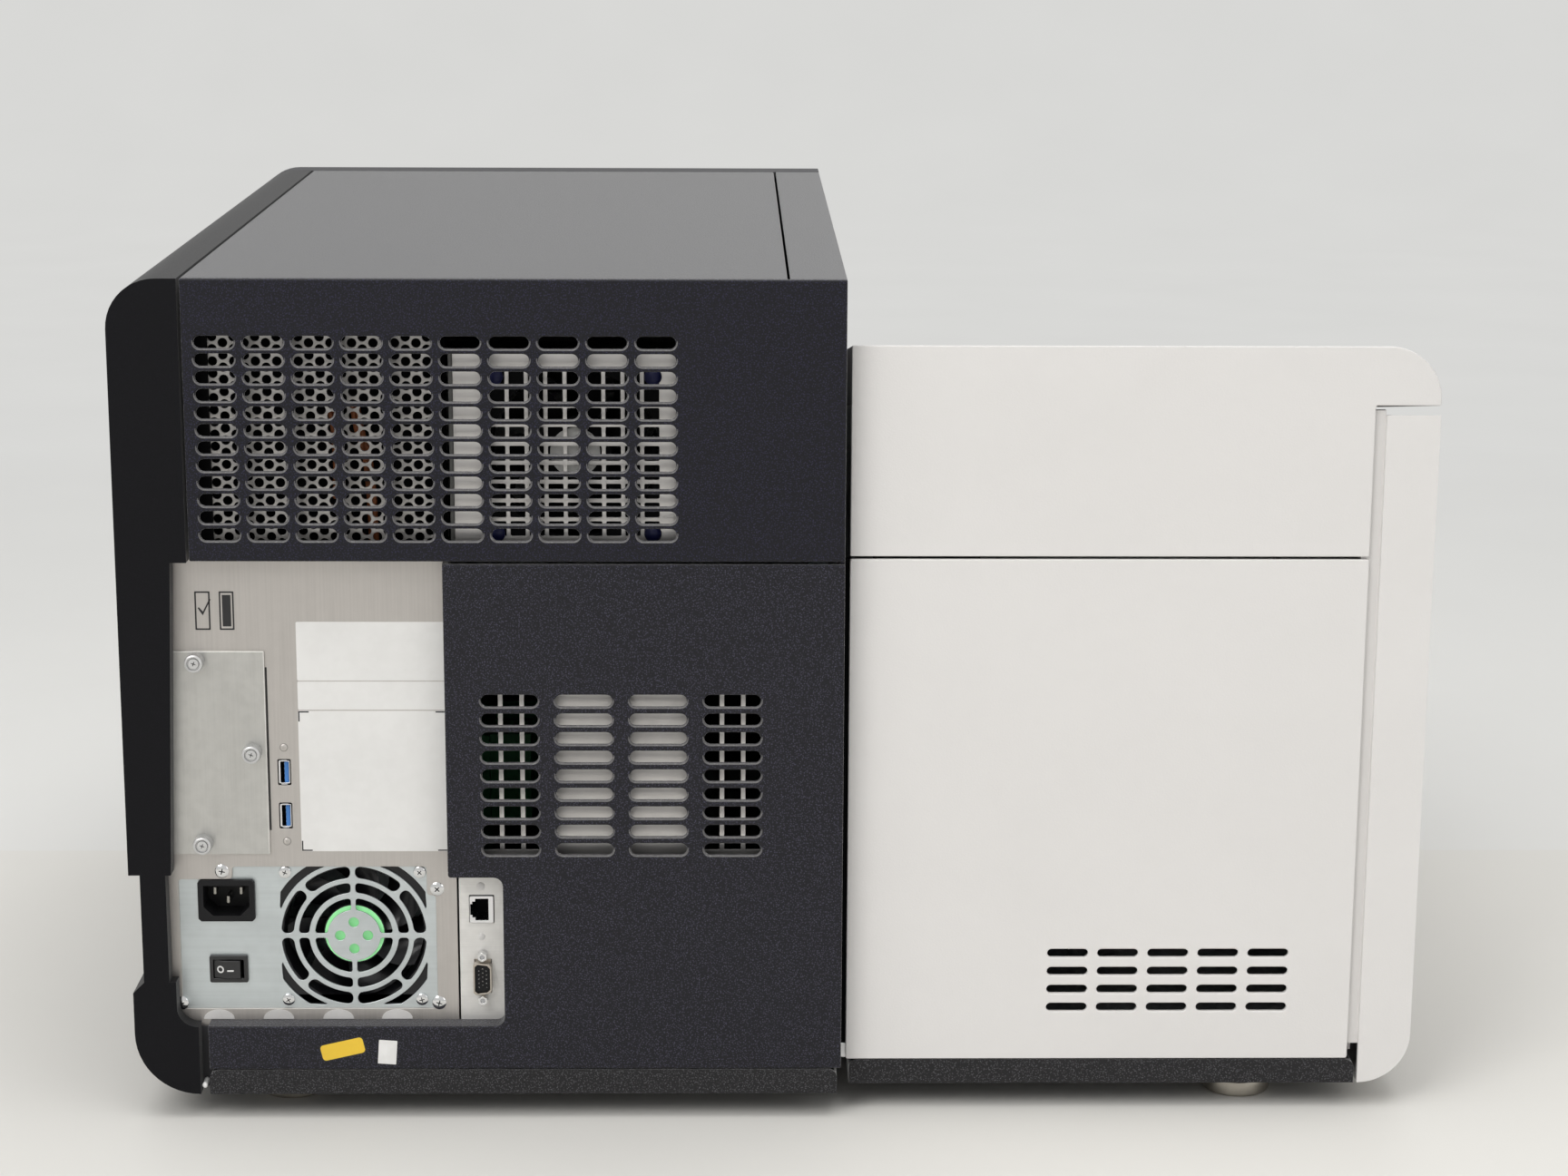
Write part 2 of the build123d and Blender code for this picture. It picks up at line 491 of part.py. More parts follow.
def opening_outline(grow):
    """Cut-out over the input panel, open toward the side cover."""
    far_x, far_z = X_OUT + 50, SEAM_Z + 50
    shape = rect(OPENING_RIGHT_X - grow, far_x, LEDGE_Z - grow, OPENING_TOP_Z + grow)
    shape += rect(PANEL_EDGE_X - grow, far_x, OPENING_TOP_Z, far_z)
    sharp = corners(shape, OPENING_RIGHT_X - grow, OPENING_TOP_Z + grow)
    sharp += corners(shape, OPENING_RIGHT_X - grow, LEDGE_Z - grow)
    return fillet(sharp, OPENING_CORNER_R + grow)


def rear_cover_lower():
    """Lower rear cover with vents, a cut-out over the input panel and a return round the cut-out."""
    outer = rect(SPLIT_X, GROOVE_X[0], PANEL_BOTTOM, SEAM_Z - SEAM / 2)
    slots = vent(LOWER_VENT_X, LOWER_VENT_Z, (LOWER_VENT_COLUMNS, LOWER_VENT_ROWS), LOWER_VENT_PITCH,
                 LOWER_SLOT)
    plate = upright(pierced(outer - opening_outline(0.0), slots), COVER_Y, Y_REAR)
    rim = (opening_outline(COVER_T) - opening_outline(0.0)) & outer
    return plate + upright(rim, PANEL_Y + RUN, COVER_Y)


# ---- Rear input panel and ports -----------------------------------------------------------------------------
def thumb_holes():
    """Octagonal holes whose flats clear the thumb screws' shanks."""
    hole = RegularPolygon(THUMB_SHANK_R + SHAFT_CLEARANCE, 8, major_radius=False)
    return [Pos(x, z) * hole for x, z in THUMB_AT]


def psu_cut_out():
    """Opening for the power supply, stepped round its two upper screws."""
    left, right = PSU_X + 143.4, PSU_X + 6.8
    low, high = PSU_Z + 2.8, PSU_Z + 82.5
    return Polygon((right, low), (left, low), (left, high - 7.0), (PSU_X + 114.6, high - 7.0),
                   (PSU_X + 114.6, high), (PSU_X + 11.5, high), (PSU_X + 11.5, high - 16.0),
                   (right, high - 16.0), align=None)


def io_panel():
    """Sheet-metal input panel with the power supply, drive bay and USB openings."""
    outline = rect(STRIP_SPLIT_X + LIP_GAP, PANEL_FAR_X, BASE_TOP, SEAM_Z + PANEL_OVERLAP)
    bay = rect(PLATE_X[0] + 14.0, PLATE_X[1] - 12.0, PLATE_Z[0] + 9.0, PLATE_Z[1] - 12.0)
    w, h = USB_SIZE[0] + 2 * PORT_CLEARANCE, USB_SIZE[1] + 2 * PORT_CLEARANCE
    ports = [Pos(USB_X, PLATE_Z[0] + rise) * Rectangle(w, h) for rise in USB_RISE]
    panel = upright(pierced(outline, [psu_cut_out(), bay, *ports, *thumb_holes()]), FACE_Y, PANEL_Y)
    for rise in RIVET_RISE:
        rivet = Pos(USB_X - 0.3, PLATE_Z[0] + rise) * RegularPolygon(RIVET_R, 12)
        panel += upright(rivet, PANEL_Y, PANEL_Y + RIVET_H)
    return panel


def access_plate():
    """Aluminium plate over the drive bay, held by three captive screws."""
    return upright(pierced(rect(*PLATE_X, *PLATE_Z), thumb_holes()), PANEL_Y, PANEL_Y + PLATE_T)


def thumb_screw(index):
    """Captive thumb screw: ribbed head with a stepped top, and its shank."""
    x, z = THUMB_AT[index]
    seat = PANEL_Y + PLATE_T
    crown = seat + THUMB_H - 1.5
    head = upright(Pos(x, z) * RegularPolygon(THUMB_R, 16), seat, crown)
    head += upright(Pos(x, z) * RegularPolygon(THUMB_R * 0.8, 16), crown, seat + THUMB_H)
    return head + upright(Pos(x, z) * Circle(THUMB_SHANK_R), FACE_Y - THUMB_GRIP, seat)


def usb_shell(x, z, mouth_y, inward, size, tongue):
    """USB socket: metal shell, back wall and contact tongue.

    The mouth is at mouth_y and the body runs inward (+1 or -1 in Y); tongue is its side, in X and Z.
    """
    w, h = size
    back = mouth_y + inward * USB_DEPTH
    bore = (w - 2 * USB_WALL, h - 2 * USB_WALL)
    low, high = min(back, mouth_y), max(back, mouth_y)
    shell = upright(Pos(x, z) * Rectangle(w, h), low, high)
    floor = back - inward * 2
    shell -= upright(Pos(x, z) * Rectangle(*bore), min(floor, mouth_y - inward), max(floor, mouth_y - inward))
    dx, dz = tongue[0] * (bore[0] / 2 - 1.0), tongue[1] * (bore[1] / 2 - 1.0)
    shape = Rectangle(2.0, bore[1] - 1.0) if dx else Rectangle(bore[0] - 1.0, 2.0)
    tip = mouth_y + inward
    return shell + upright(Pos(x + dx, z + dz) * shape, min(floor, tip), max(floor, tip))


def usb_sockets():
    """The two rear USB sockets."""
    mouth = PANEL_Y + PORT_CLEARANCE
    return Compound(children=[usb_shell(USB_X, PLATE_Z[0] + rise, mouth, -1, USB_SIZE, (-1, 0)) for rise in USB_RISE])


def port_bracket():
    """Strip with the network and video ports."""
    outline = rect(OPENING_RIGHT_X - PANEL_HIDDEN, STRIP_SPLIT_X - LIP_GAP, BASE_TOP, OPENING_TOP_Z + 4.0)
    grow = 2 * PORT_CLEARANCE
    holes = [Pos(*JACK_AT) * Rectangle(JACK_SIZE[0] + grow, JACK_SIZE[1] + grow),
             Pos(*VIDEO_AT) * Rectangle(VIDEO_SIZE[0] + grow, VIDEO_SIZE[1] + grow)]
    return upright(pierced(outline, holes), FACE_Y, PANEL_Y)


def ethernet_jack():
    """Network jack with its plug cavity and latch notch."""
    x, z = JACK_AT
    mouth = PANEL_Y + 1
    body = upright(Pos(x, z) * Rectangle(*JACK_SIZE), mouth - JACK_DEPTH, mouth)
    cavity = Pos(x - 0.7, z) * Rectangle(8.6, 12.0) + Pos(x + 4.4, z) * Rectangle(2.4, 6.0)
    return body - upright(cavity, mouth - JACK_DEPTH + 2, mouth + 1)


def video_connector():
    """Fifteen-way video socket with its two jack posts."""
    x, z = VIDEO_AT
    w, h = VIDEO_SIZE
    d_shape = Polygon((x - w / 2, z - h / 2 + 1.4), (x + w / 2, z - h / 2), (x + w / 2, z + h / 2),
                      (x - w / 2, z + h / 2 - 1.4), align=None)
    d_shape = chamfer(d_shape.vertices(), 1.6)
    shell = upright(d_shape, FACE_Y - 8, PANEL_Y + 5.5)
    shell -= upright(offset(d_shape, -0.7), PANEL_Y + 4.3, PANEL_Y + 6)
    posts = [upright(Pos(x, z + s * VIDEO_POST_PITCH / 2) * RegularPolygon(2.9, 6), PANEL_Y, PANEL_Y + 4.8)
             for s in (-1, 1)]
    return Compound(children=[shell, *posts])


# ---- Power supply ---------------------------------------------------------------------------------------------
def grille_holes():
    """Punched fan grille: rings cut by bars, corner crescents and four hub holes."""
    holes = []
    for (inner, outer), bars in zip(GRILLE_RINGS, GRILLE_RING_BARS):
        ring = Circle(outer) - Circle(inner)
        for index in range(round(bars)):
            ring -= Rot(0, 0, index * 180 / bars) * Rectangle(3 * GRILLE_HALF, GRILLE_BAR)
        holes += ring.faces()
    inner, outer = GRILLE_CRESCENT
    holes += ((Circle(outer) - Circle(inner)) & Rectangle(2 * GRILLE_HALF, 2 * GRILLE_HALF)).faces()
    hub_hole = Pos(GRILLE_HUB_HOLES[1], 0) * RegularPolygon(GRILLE_HUB_HOLES[0], 8)
    holes += [Rot(0, 0, 90 * index) * hub_hole for index in range(4)]
    return [Pos(FAN_X, FAN_Z) * Sketch(hole.wrapped) for hole in holes]


def psu_case():
    """Power supply housing with the punched grille and the inlet and switch openings."""
    front = FACE_Y - PSU_D
    holes = grille_holes()
    for x, z, (w, h) in ((INLET_X, INLET_Z, INLET_BODY), (SWITCH_X, SWITCH_Z, SWITCH_BODY)):
        holes.append(Pos(x, z) * Rectangle(w + 0.4, h + 0.4))
    outline = rect(PSU_X, PSU_X + PSU_W, PSU_Z, PSU_TOP)
    face = upright(pierced(outline, holes), FACE_Y - PSU_WALL, FACE_Y)
    box = upright(outline, front, FACE_Y - PSU_WALL)
    box -= upright(offset(outline, -PSU_WALL, kind=Kind.INTERSECTION), front + PSU_WALL, FACE_Y)
    feet = block(PSU_X + 10, PSU_X + PSU_W - 10, front + 10, FACE_Y - 20, BASE_TOP, PSU_Z)
    return box + face + feet


def psu_screws():
    """Four mounting screws on the panel and four fan screws on the supply's face."""
    heads = []
    for dx, dz in PSU_SCREWS:
        head = Pos(PSU_X + dx, PSU_Z + dz) * RegularPolygon(PSU_SCREW_R, 8)
        heads.append(upright(head, PANEL_Y, PANEL_Y + PSU_SCREW_H))
    for spot in GridLocations(PSU_FAN_PITCH, PSU_FAN_PITCH, 2, 2):
        head = Pos(FAN_X, FAN_Z) * spot * RegularPolygon(FAN_SCREW_R, 8)
        heads.append(upright(head, FACE_Y, FACE_Y + FAN_SCREW_H))
    return Compound(children=heads)


def psu_fan_frame():
    rear = FACE_Y - PSU_WALL
    return fan_frame(FAN_X, FAN_Z, PSU_FAN_SIZE, rear - FAN_DEPTH, rear, PSU_FAN_PITCH)


def psu_fan_rotor():
    rear = FACE_Y - PSU_WALL
    return fan_rotor(FAN_X, FAN_Z, PSU_FAN_SIZE, rear - FAN_DEPTH + 3 + RUN, rear - 2.5, 7)


def power_inlet():
    """Three-pin appliance inlet: flange, body and chamfered cavity."""
    centre = Pos(INLET_X, INLET_Z)
    mouth = FACE_Y + INLET_FLANGE_T
    flange = upright(chamfer((centre * Rectangle(*INLET_SIZE)).vertices(), 1.5), FACE_Y, mouth)
    body = upright(centre * Rectangle(*INLET_BODY), FACE_Y - 20, FACE_Y)
    a, b, c = INLET_CAVITY[0] / 2, INLET_CAVITY[1] / 2, 5.0
    cavity = Polygon((c - a, -b), (a - c, -b), (a, c - b), (a, b), (-a, b), (-a, c - b), align=None)
    return flange + body - upright(centre * cavity, mouth - INLET_CAVITY_DEPTH, mouth + 1)


def inlet_pins():
    """The inlet's three blades."""
    floor = FACE_Y + INLET_FLANGE_T - INLET_CAVITY_DEPTH
    spots = [(-7.0, 4.0), (7.0, 4.0), (0.0, -1.2)]
    return Compound(children=[upright(Pos(INLET_X + x, INLET_Z + z) * Rectangle(2.0, 4.0), floor, floor + 14.5)
                              for x, z in spots])


def switch_frame():
    """Frame of the power switch."""
    centre = Pos(SWITCH_X, SWITCH_Z)
    well = centre * Rectangle(ROCKER_SIZE[0] + 1.7, ROCKER_SIZE[1] + 2 * RUN)
    flange = upright(centre * Rectangle(*SWITCH_SIZE), FACE_Y, FACE_Y + SWITCH_FLANGE_T)
    body = upright(centre * Rectangle(*SWITCH_BODY), FACE_Y - 14, FACE_Y)
    return flange + body - upright(well, FACE_Y - 12, FACE_Y + 3)


def switch_rocker():
    """Rocker with a shallow V face, tilted to its off position."""
    half = ROCKER_SIZE[0] / 2
    profile = Polygon((-half, -4.0), (half, -4.0), (half, 5.6), (0.0, 4.2), (-half, 5.6), align=None)
    rocker = Pos(0, 0, -ROCKER_SIZE[1] / 2) * extrude(profile - Circle(1.2), amount=ROCKER_SIZE[1])
    return Pos(SWITCH_X, ROCKER_PIVOT_Y, SWITCH_Z) * Rot(0, 0, -ROCKER_TILT) * rocker


# ---- Behind the upper and lower vents ---------------------------------------------------------------------------
SHIELD_X = SIDE_SEAM_X - SHIELD_W


def fan_mount_plate():
    """Plate that carries the rear fan."""
    fan = Pos(REAR_FAN_X, REAR_FAN_Z) * RegularPolygon(REAR_FAN_SIZE / 2 - 2, FAN_SIDES)
    outline = rect(INNER_X, SHIELD_X - 1, SEAM_Z - 2, REAR_FAN_Z + REAR_FAN_SIZE / 2 + 12)
    return upright(pierced(outline, [fan]), FACE_Y - SHEET_T, FACE_Y)


def rear_fan_frame():
    rear = FACE_Y - SHEET_T
    return fan_frame(REAR_FAN_X, REAR_FAN_Z, REAR_FAN_SIZE, rear - FAN_DEPTH, rear, REAR_FAN_SIZE - 9.5)


def rear_fan_rotor():
    rear = FACE_Y - SHEET_T
    return fan_rotor(REAR_FAN_X, REAR_FAN_Z, REAR_FAN_SIZE, rear - FAN_DEPTH + 3 + RUN, rear - 2.5, 7)


def rear_fan_guard():
    """Square-grid finger guard."""
    centre = Pos(REAR_FAN_X, REAR_FAN_Z)
    cell = GUARD_PITCH - GUARD_BAR
    holes = [centre * spot * Rectangle(cell, cell)
             for spot in GridLocations(GUARD_PITCH, GUARD_PITCH, GUARD_CELLS, GUARD_CELLS)]
    return upright(pierced(centre * Rectangle(REAR_FAN_SIZE, REAR_FAN_SIZE), holes), FACE_Y, FACE_Y + SHEET_T)


def perforated_shield():
    """Perforated sheet behind the outer vent columns."""
    x0, x1, z0, z1 = SHIELD_X, PANEL_FAR_X, SEAM_Z + 4, HEIGHT - SHIELD_TOP_GAP
    hole = Rot(0, 0, 45) * Rectangle(SHIELD_HOLE, SHIELD_HOLE)
    columns, rows = int((x1 - x0) // SHIELD_PITCH), int((z1 - z0) // SHIELD_PITCH)
    grid = GridLocations(SHIELD_PITCH, SHIELD_PITCH, columns, rows)
    holes = [Pos((x0 + x1) / 2, (z0 + z1) / 2) * spot * hole for spot in grid]
    return upright(pierced(rect(x0, x1, z0, z1), holes), FACE_Y - SHEET_T, FACE_Y)


def vent_baffle():
    """Sheet behind the lower vents with two barred windows."""
    columns, rows = LOWER_VENT_COLUMNS, LOWER_VENT_ROWS
    pitch, row_pitch = LOWER_VENT_PITCH
    height = rows * row_pitch
    high = LOWER_VENT_Z + height / 2 + 12
    edge = OPENING_RIGHT_X - PANEL_HIDDEN - 1
    outline = rect(INNER_X, edge, BASE_TOP, high)
    outline += rect(edge, LOWER_VENT_X + columns * pitch / 2 + 2, OPENING_TOP_Z + 6, high)
    pane = (LOWER_SLOT[0] + 4) / 3
    reach = (columns - 1) / 2 * pitch
    holes = []
    for centre in (LOWER_VENT_X - reach, LOWER_VENT_X + reach):
        holes += [Pos(centre + step * pane, LOWER_VENT_Z) * Rectangle(pane - 2.5, height - 2) for step in (-1, 0, 1)]
    return upright(pierced(outline, holes), FACE_Y - SHEET_T, FACE_Y)


# ---- Front of the black section -----------------------------------------------------------------------------------
def front_bezel():
    """Moulded front with the screen window, status bar slot and USB opening."""
    body = upright(black_outline(), Y_FRONT, Y_BEZEL)
    body = chamfer(body.edges().filter_by(Plane.XZ).group_by(Axis.Y)[0], BEZEL_EDGE)
    inner = offset(black_outline(), -COVER_T, kind=Kind.ARC)
    body -= upright(inner, Y_FRONT + COVER_T, Y_BEZEL + 1)
    low, high = SCREEN_Z - SCREEN_H / 2, SCREEN_Z + SCREEN_H / 2
    half = STATUS_W / 2 + 0.2
    grow = 2 * PORT_CLEARANCE
    w, h = USB_SIZE
    for opening in (rect(SCREEN_X - SCREEN_W / 2, SCREEN_X + SCREEN_W / 2, low, high),
                    Pos(*FRONT_USB_AT) * Rectangle(h + grow, w + grow),
                    rect(STATUS_X - half, STATUS_X + half, low, high)):
        body -= upright(opening, Y_FRONT - 1, Y_FRONT + COVER_T + 1)
    return body


def touch_screen():
    """Touch glass behind the bezel's window."""
    w, h = SCREEN_W / 2 + SCREEN_LAP, SCREEN_H / 2 + SCREEN_LAP
    y0 = Y_FRONT + COVER_T
    return block(SCREEN_X - w, SCREEN_X + w, y0, y0 + GLASS_T, SCREEN_Z - h, SCREEN_Z + h)


def monitor_module():
    """Display panel behind the glass."""
    w, h = SCREEN_W / 2 + SCREEN_LAP - 2, SCREEN_H / 2 + SCREEN_LAP - 2
    y0 = Y_FRONT + COVER_T + GLASS_T
    return block(SCREEN_X - w, SCREEN_X + w, y0, y0 + MONITOR_T, SCREEN_Z - h, SCREEN_Z + h)


def status_bar():
    """Translucent light bar beside the screen."""
    h = SCREEN_H / 2 - 0.2
    y0 = Y_FRONT + COVER_T
    bar = block(STATUS_X - STATUS_W / 2, STATUS_X + STATUS_W / 2, Y_FRONT, y0, SCREEN_Z - h, SCREEN_Z + h)
    half = STATUS_W / 2 + 1.5
    return bar + block(STATUS_X - half, STATUS_X + half, y0, y0 + 2, SCREEN_Z - h, SCREEN_Z + h)


def front_usb_socket():
    return usb_shell(*FRONT_USB_AT, Y_FRONT + 0.5, 1, (USB_SIZE[1], USB_SIZE[0]), (0, 1))


# ---- Inside the black section ----------------------------------------------------------------------------------------
def main_board():
    """Computer board standing on the baseplate beside the port strip, with its heat sink."""
    x1 = STRIP_SPLIT_X - 1.0
    y1 = FACE_Y - 4
    board = block(x1 - BOARD_T, x1, y1 - BOARD_LENGTH, y1, BASE_TOP, SHELF_Z - 22)
    sink = block(x1 - 32, x1 - BOARD_T, y1 - 182, y1 - 102, 130, 180)
    for index in range(6):
        y = y1 - 176 + index * 14
        sink -= block(x1 - 33, x1 - 9, y, y + 8, 129, 181)
    return board + sink


def disk_drive():
    """Disk drive on its feet above the power supply."""
    x0, x1 = PLATE_X[0] + 12, PLATE_X[0] + 38.5
    y1 = FACE_Y - THUMB_GRIP - 2.5
    drive = block(x0, x1, y1 - DRIVE_LENGTH, y1, PLATE_Z[0] + 4, PLATE_Z[1] - 4)
    for y in (y1 - DRIVE_LENGTH + 10, y1 - 32):
        drive += block(x0 + 2, x1 - 2, y, y + 20, PSU_TOP, PLATE_Z[0] + 4)
    return drive


def equipment_shelf():
    """Shelf between the divider and the side cover, over the computer."""
    x1 = X_OUT - COVER_T
    shelf = block(INNER_X, x1, Y_BEZEL + 24, FACE_Y - 30, SHELF_Z - TOP_SHEET_T, SHELF_Z)
    return shelf + block(INNER_X, x1, Y_BEZEL + 24, Y_BEZEL + 26, SHELF_Z - 14, SHELF_Z - TOP_SHEET_T)


def optics_housing():
    """Cast housing of the optical module, open to the shelf, with a ribbed lid."""
    x0, x1, y0, y1 = INNER_X + 14, SIDE_SEAM_X - 56, Y_BEZEL + 72, FACE_Y - 86
    high = SHELF_Z + OPTICS_H
    body = block(x0, x1, y0, y1, SHELF_Z, high)
    wall = OPTICS_WALL
    body -= block(x0 + wall, x1 - wall, y0 + wall, y1 - wall, SHELF_Z - 1, high - wall)
    body += block(x0 + 4, x1 - 4, y0 + 4, y1 - 4, high, high + 6)
    ribs = 5
    for index in range(ribs):
        y = y0 + 40 + index * (y1 - y0 - 80) / (ribs - 1)
        body += block(x0 + 12, x1 - 12, y - 3, y + 3, high + 6, high + 14)
    return body


# ---- White section covers ----------------------------------------------------------------------------------------------
def white_body(inset=0.0):
    """White body with a sloping top, a rounded front and a rounded outer side.

    The inner face of the skin (inset above zero) is chamfered where the outer one is rounded.
    """
    drop = inset / cos(radians(WHITE_TOP_SLOPE))
    y0, y1 = WHITE_FRONT_Y + inset, WHITE_REAR_Y - inset
    shape = Polygon((y1, FOOT_HEIGHT + inset), (y1, white_top_z(y1) - drop),
                    (y0, white_top_z(y0) - drop), (y0, FOOT_HEIGHT + inset), align=None)
    shape = fillet(corners(shape, y0, white_top_z(y0) - drop), WHITE_FRONT_R - inset)
    solid = sideways(shape, -X_OUT + inset, WHITE_X - inset)
    outer = [e for e in solid.edges() if abs(e.center().X + X_OUT - inset) < 0.01 and e.center().Y < y1 - 1]
    radius = WHITE_CORNER_R - inset
    return chamfer(outer, WHITE_INNER_CHAMFER * radius) if inset else fillet(outer, radius)


WHITE_SKIN = white_body() - white_body(COVER_T)
UPPER_COVER_FRONT_Y = UPPER_DOOR_REAR_Y + DOOR_REAR_GAP
SIDE_COVER_FRONT_Y = DOOR_FRONT_Y + SIDE_COVER_GAP
SIDE_COVER_DROP = WHITE_BAND_H + WHITE_GROOVE_H


def white_slab(y0, y1, z0, z1):
    """Box across the whole white section, between two depths and two heights."""
    return block(-X_OUT - 1, WHITE_X + 1, y0, y1, z0, z1)


def under_slope(drop, y0, y1, floor=0.0):
    """Everything under a plane parallel to the sloping top, between two depths."""
    shape = Polygon((y0, floor), (y1, floor), (y1, white_top_z(y1) - drop), (y0, white_top_z(y0) - drop),
                    align=None)
    return sideways(shape, -X_OUT - 5, WHITE_X + 5)


def top_band():
    """Skin above the side covers' upper edge."""
    return WHITE_SKIN - under_slope(WHITE_BAND_H, WHITE_FRONT_Y - 5, WHITE_REAR_Y + 5, -5)


def white_upper_cover():
    """Top cover that wraps over the outer edge and down the rear to the seam."""
    band = top_band() & white_slab(UPPER_COVER_FRONT_Y, WHITE_REAR_Y + 1, 0, HEIGHT)
    rear = block(WHITE_PANEL_X, WHITE_X, WHITE_REAR_Y - COVER_T, WHITE_REAR_Y, SEAM_Z + SEAM / 2,
                 white_top_z(WHITE_REAR_Y) - WHITE_BAND_H + 0.5)
    return band + rear


def white_rear_panel():
    """Lower white rear panel with its vent."""
    outline = rect(WHITE_PANEL_X, WHITE_X, PANEL_BOTTOM, SEAM_Z - SEAM / 2)
    slots = vent(WHITE_PANEL_X + WHITE_VENT_AT[0], TRAY_TOP + WHITE_VENT_AT[1], WHITE_VENT_COUNT,
                 WHITE_VENT_PITCH, WHITE_SLOT)
    return upright(pierced(outline, slots), WHITE_REAR_Y - COVER_T, WHITE_REAR_Y)


def white_side_cover():
    """Outer side cover with the front skirt and the bottom of the groove at the rear."""
    side = WHITE_SKIN & under_slope(SIDE_COVER_DROP, SIDE_COVER_FRONT_Y, WHITE_REAR_Y + 1)
    side &= block(-X_OUT - 1, WHITE_FLANGE_X, WHITE_FRONT_Y, WHITE_REAR_Y + 1, 0, HEIGHT)
    skirt = WHITE_SKIN & white_slab(WHITE_FRONT_Y - 1, SIDE_COVER_FRONT_Y, 0, SKIRT_Z)
    skirt -= block(WHITE_FLANGE_X, WHITE_X + 1, WHITE_FRONT_Y + COVER_T, SIDE_COVER_FRONT_Y + 1, 0, SKIRT_Z + 1)
    behind = WHITE_REAR_Y - COVER_T
    floor_y = behind - WHITE_GROOVE_DEPTH
    top = white_top_z(WHITE_REAR_Y)
    groove = block(WHITE_FLANGE_X, WHITE_PANEL_X + 4, floor_y, behind - RUN, BASE_TOP, top - WHITE_BAND_H - 3)
    bridge = block(WHITE_FLANGE_X - 4, WHITE_FLANGE_X, floor_y, behind, BASE_TOP, top - SIDE_COVER_DROP - 1)
    return side + skirt + groove + bridge


def flow_cell_door():
    """Upper door: the front of the sloping top and the rounded front down to the deck."""
    door = top_band() & white_slab(WHITE_FRONT_Y - 1, UPPER_DOOR_REAR_Y, 0, HEIGHT)
    door += WHITE_SKIN & white_slab(WHITE_FRONT_Y - 1, DOOR_FRONT_Y, DECK_TOP + SEAM, HEIGHT)
    y, z = UPPER_PIVOT
    for x0, x1 in UPPER_LUGS:
        lug = block(x0, x1, y - 5, y + 5, z - 4.5, white_top_z(y) - COVER_T + 0.5)
        door += lug - rod_x(x0 - 1, x1 + 1, y, z, PIN_R + SHAFT_CLEARANCE)
    return door


def reagent_door():
    """Lower door, hinged on its outer edge."""
    z0, z1 = LOWER_DOOR_Z
    door = WHITE_SKIN & white_slab(WHITE_FRONT_Y - 1, DOOR_FRONT_Y, z0, z1)
    x, y = LOWER_PIVOT
    for low in (z0 + RUN, z1 - RUN - LUG_H):
        lug = block(-X_OUT + COVER_T - 0.5, x + 4.5, y - 5, y + 3.5, low, low + LUG_H)
        door += lug - rod_z(x, y, low - 1, low + LUG_H + 1, PIN_R + SHAFT_CLEARANCE)
    return door


def hinge_pins():
    """Pins of the two outer doors and of the chiller door."""
    y, z = UPPER_PIVOT
    x, lower_y = LOWER_PIVOT
    z0, z1 = LOWER_DOOR_Z
    pins = [prism_x(POST_X[0][1], UPPER_LUGS[0][1] - 1, y, z, PIN_R, PIN_SIDES),
            prism_x(UPPER_LUGS[1][0] + 1, POST_X[1][0], y, z, PIN_R, PIN_SIDES),
            prism_z(x, lower_y, FLOOR_Z, z0 + LUG_H - 1, PIN_R, PIN_SIDES),
            prism_z(x, lower_y, z1 - LUG_H + 1, DECK_Z, PIN_R, PIN_SIDES),
            prism_x(CHILLER_X[0] + EAR_T, CHILLER_X[1] - EAR_T, *CHILLER_PIVOT, PIN_R, PIN_SIDES)]
    return Compound(children=pins)


# ---- Reagent compartment -------------------------------------------------------------------------------------------------
GUIDE_Y = sum(CHILLER_Y) / 2 - 10
GUIDE_X = (CHILLER_X[0] + CHILLER_WALL / 2, CHILLER_X[1] - CHILLER_WALL / 2)


def reagent_liner():
    """Compartment liner, open at the front, with an ear for the door's lower hinge pin."""
    (x0, x1), (y0, y1) = LINER_X, LINER_Y
    box = block(x0, x1, y0, y1, BASE_TOP, DECK_Z)
    box -= block(x0 + LINER_T, x1 - LINER_T, y0 - 1, y1 - LINER_T, FLOOR_Z, DECK_Z - LINER_T)
    x, y = LOWER_PIVOT
    return box + block(x - 2.5, x0 + 12, y - 4, y0, BASE_TOP, FLOOR_Z)


def needle_spots():
    """Sipper needles, three by three over the cartridge."""
    middle = Pos(sum(CHILLER_X) / 2, GUIDE_Y)
    return [(middle * spot).position for spot in GridLocations(NEEDLE_PITCH, NEEDLE_PITCH, 3, 3)]


def reagent_chiller():
    """Insulated block with the cartridge cavity, needle holes, door ears and guide rods."""
    (x0, x1), (y0, y1) = CHILLER_X, CHILLER_Y
    wall = CHILLER_WALL
    body = block(x0, x1, y0, y1, FLOOR_Z, CHILLER_TOP)
    body -= block(x0 + wall, x1 - wall, y0 - 1, y1 - wall, FLOOR_Z + wall, CHILLER_TOP - wall)
    half = NEEDLE_HOLE
    for at in needle_spots():
        body -= block(at.X - half, at.X + half, at.Y - half, at.Y + half, CHILLER_TOP - wall - 1, CHILLER_TOP + 1)
    y, z = CHILLER_PIVOT
    for x in (x0, x1 - EAR_T):
        body += block(x, x + EAR_T, y - 3.5, y0, FLOOR_Z, z + 4)
    for x in GUIDE_X:
        body += prism_z(x, GUIDE_Y, CHILLER_TOP, DECK_Z - LINER_T, GUIDE_R, PIN_SIDES)
    return body


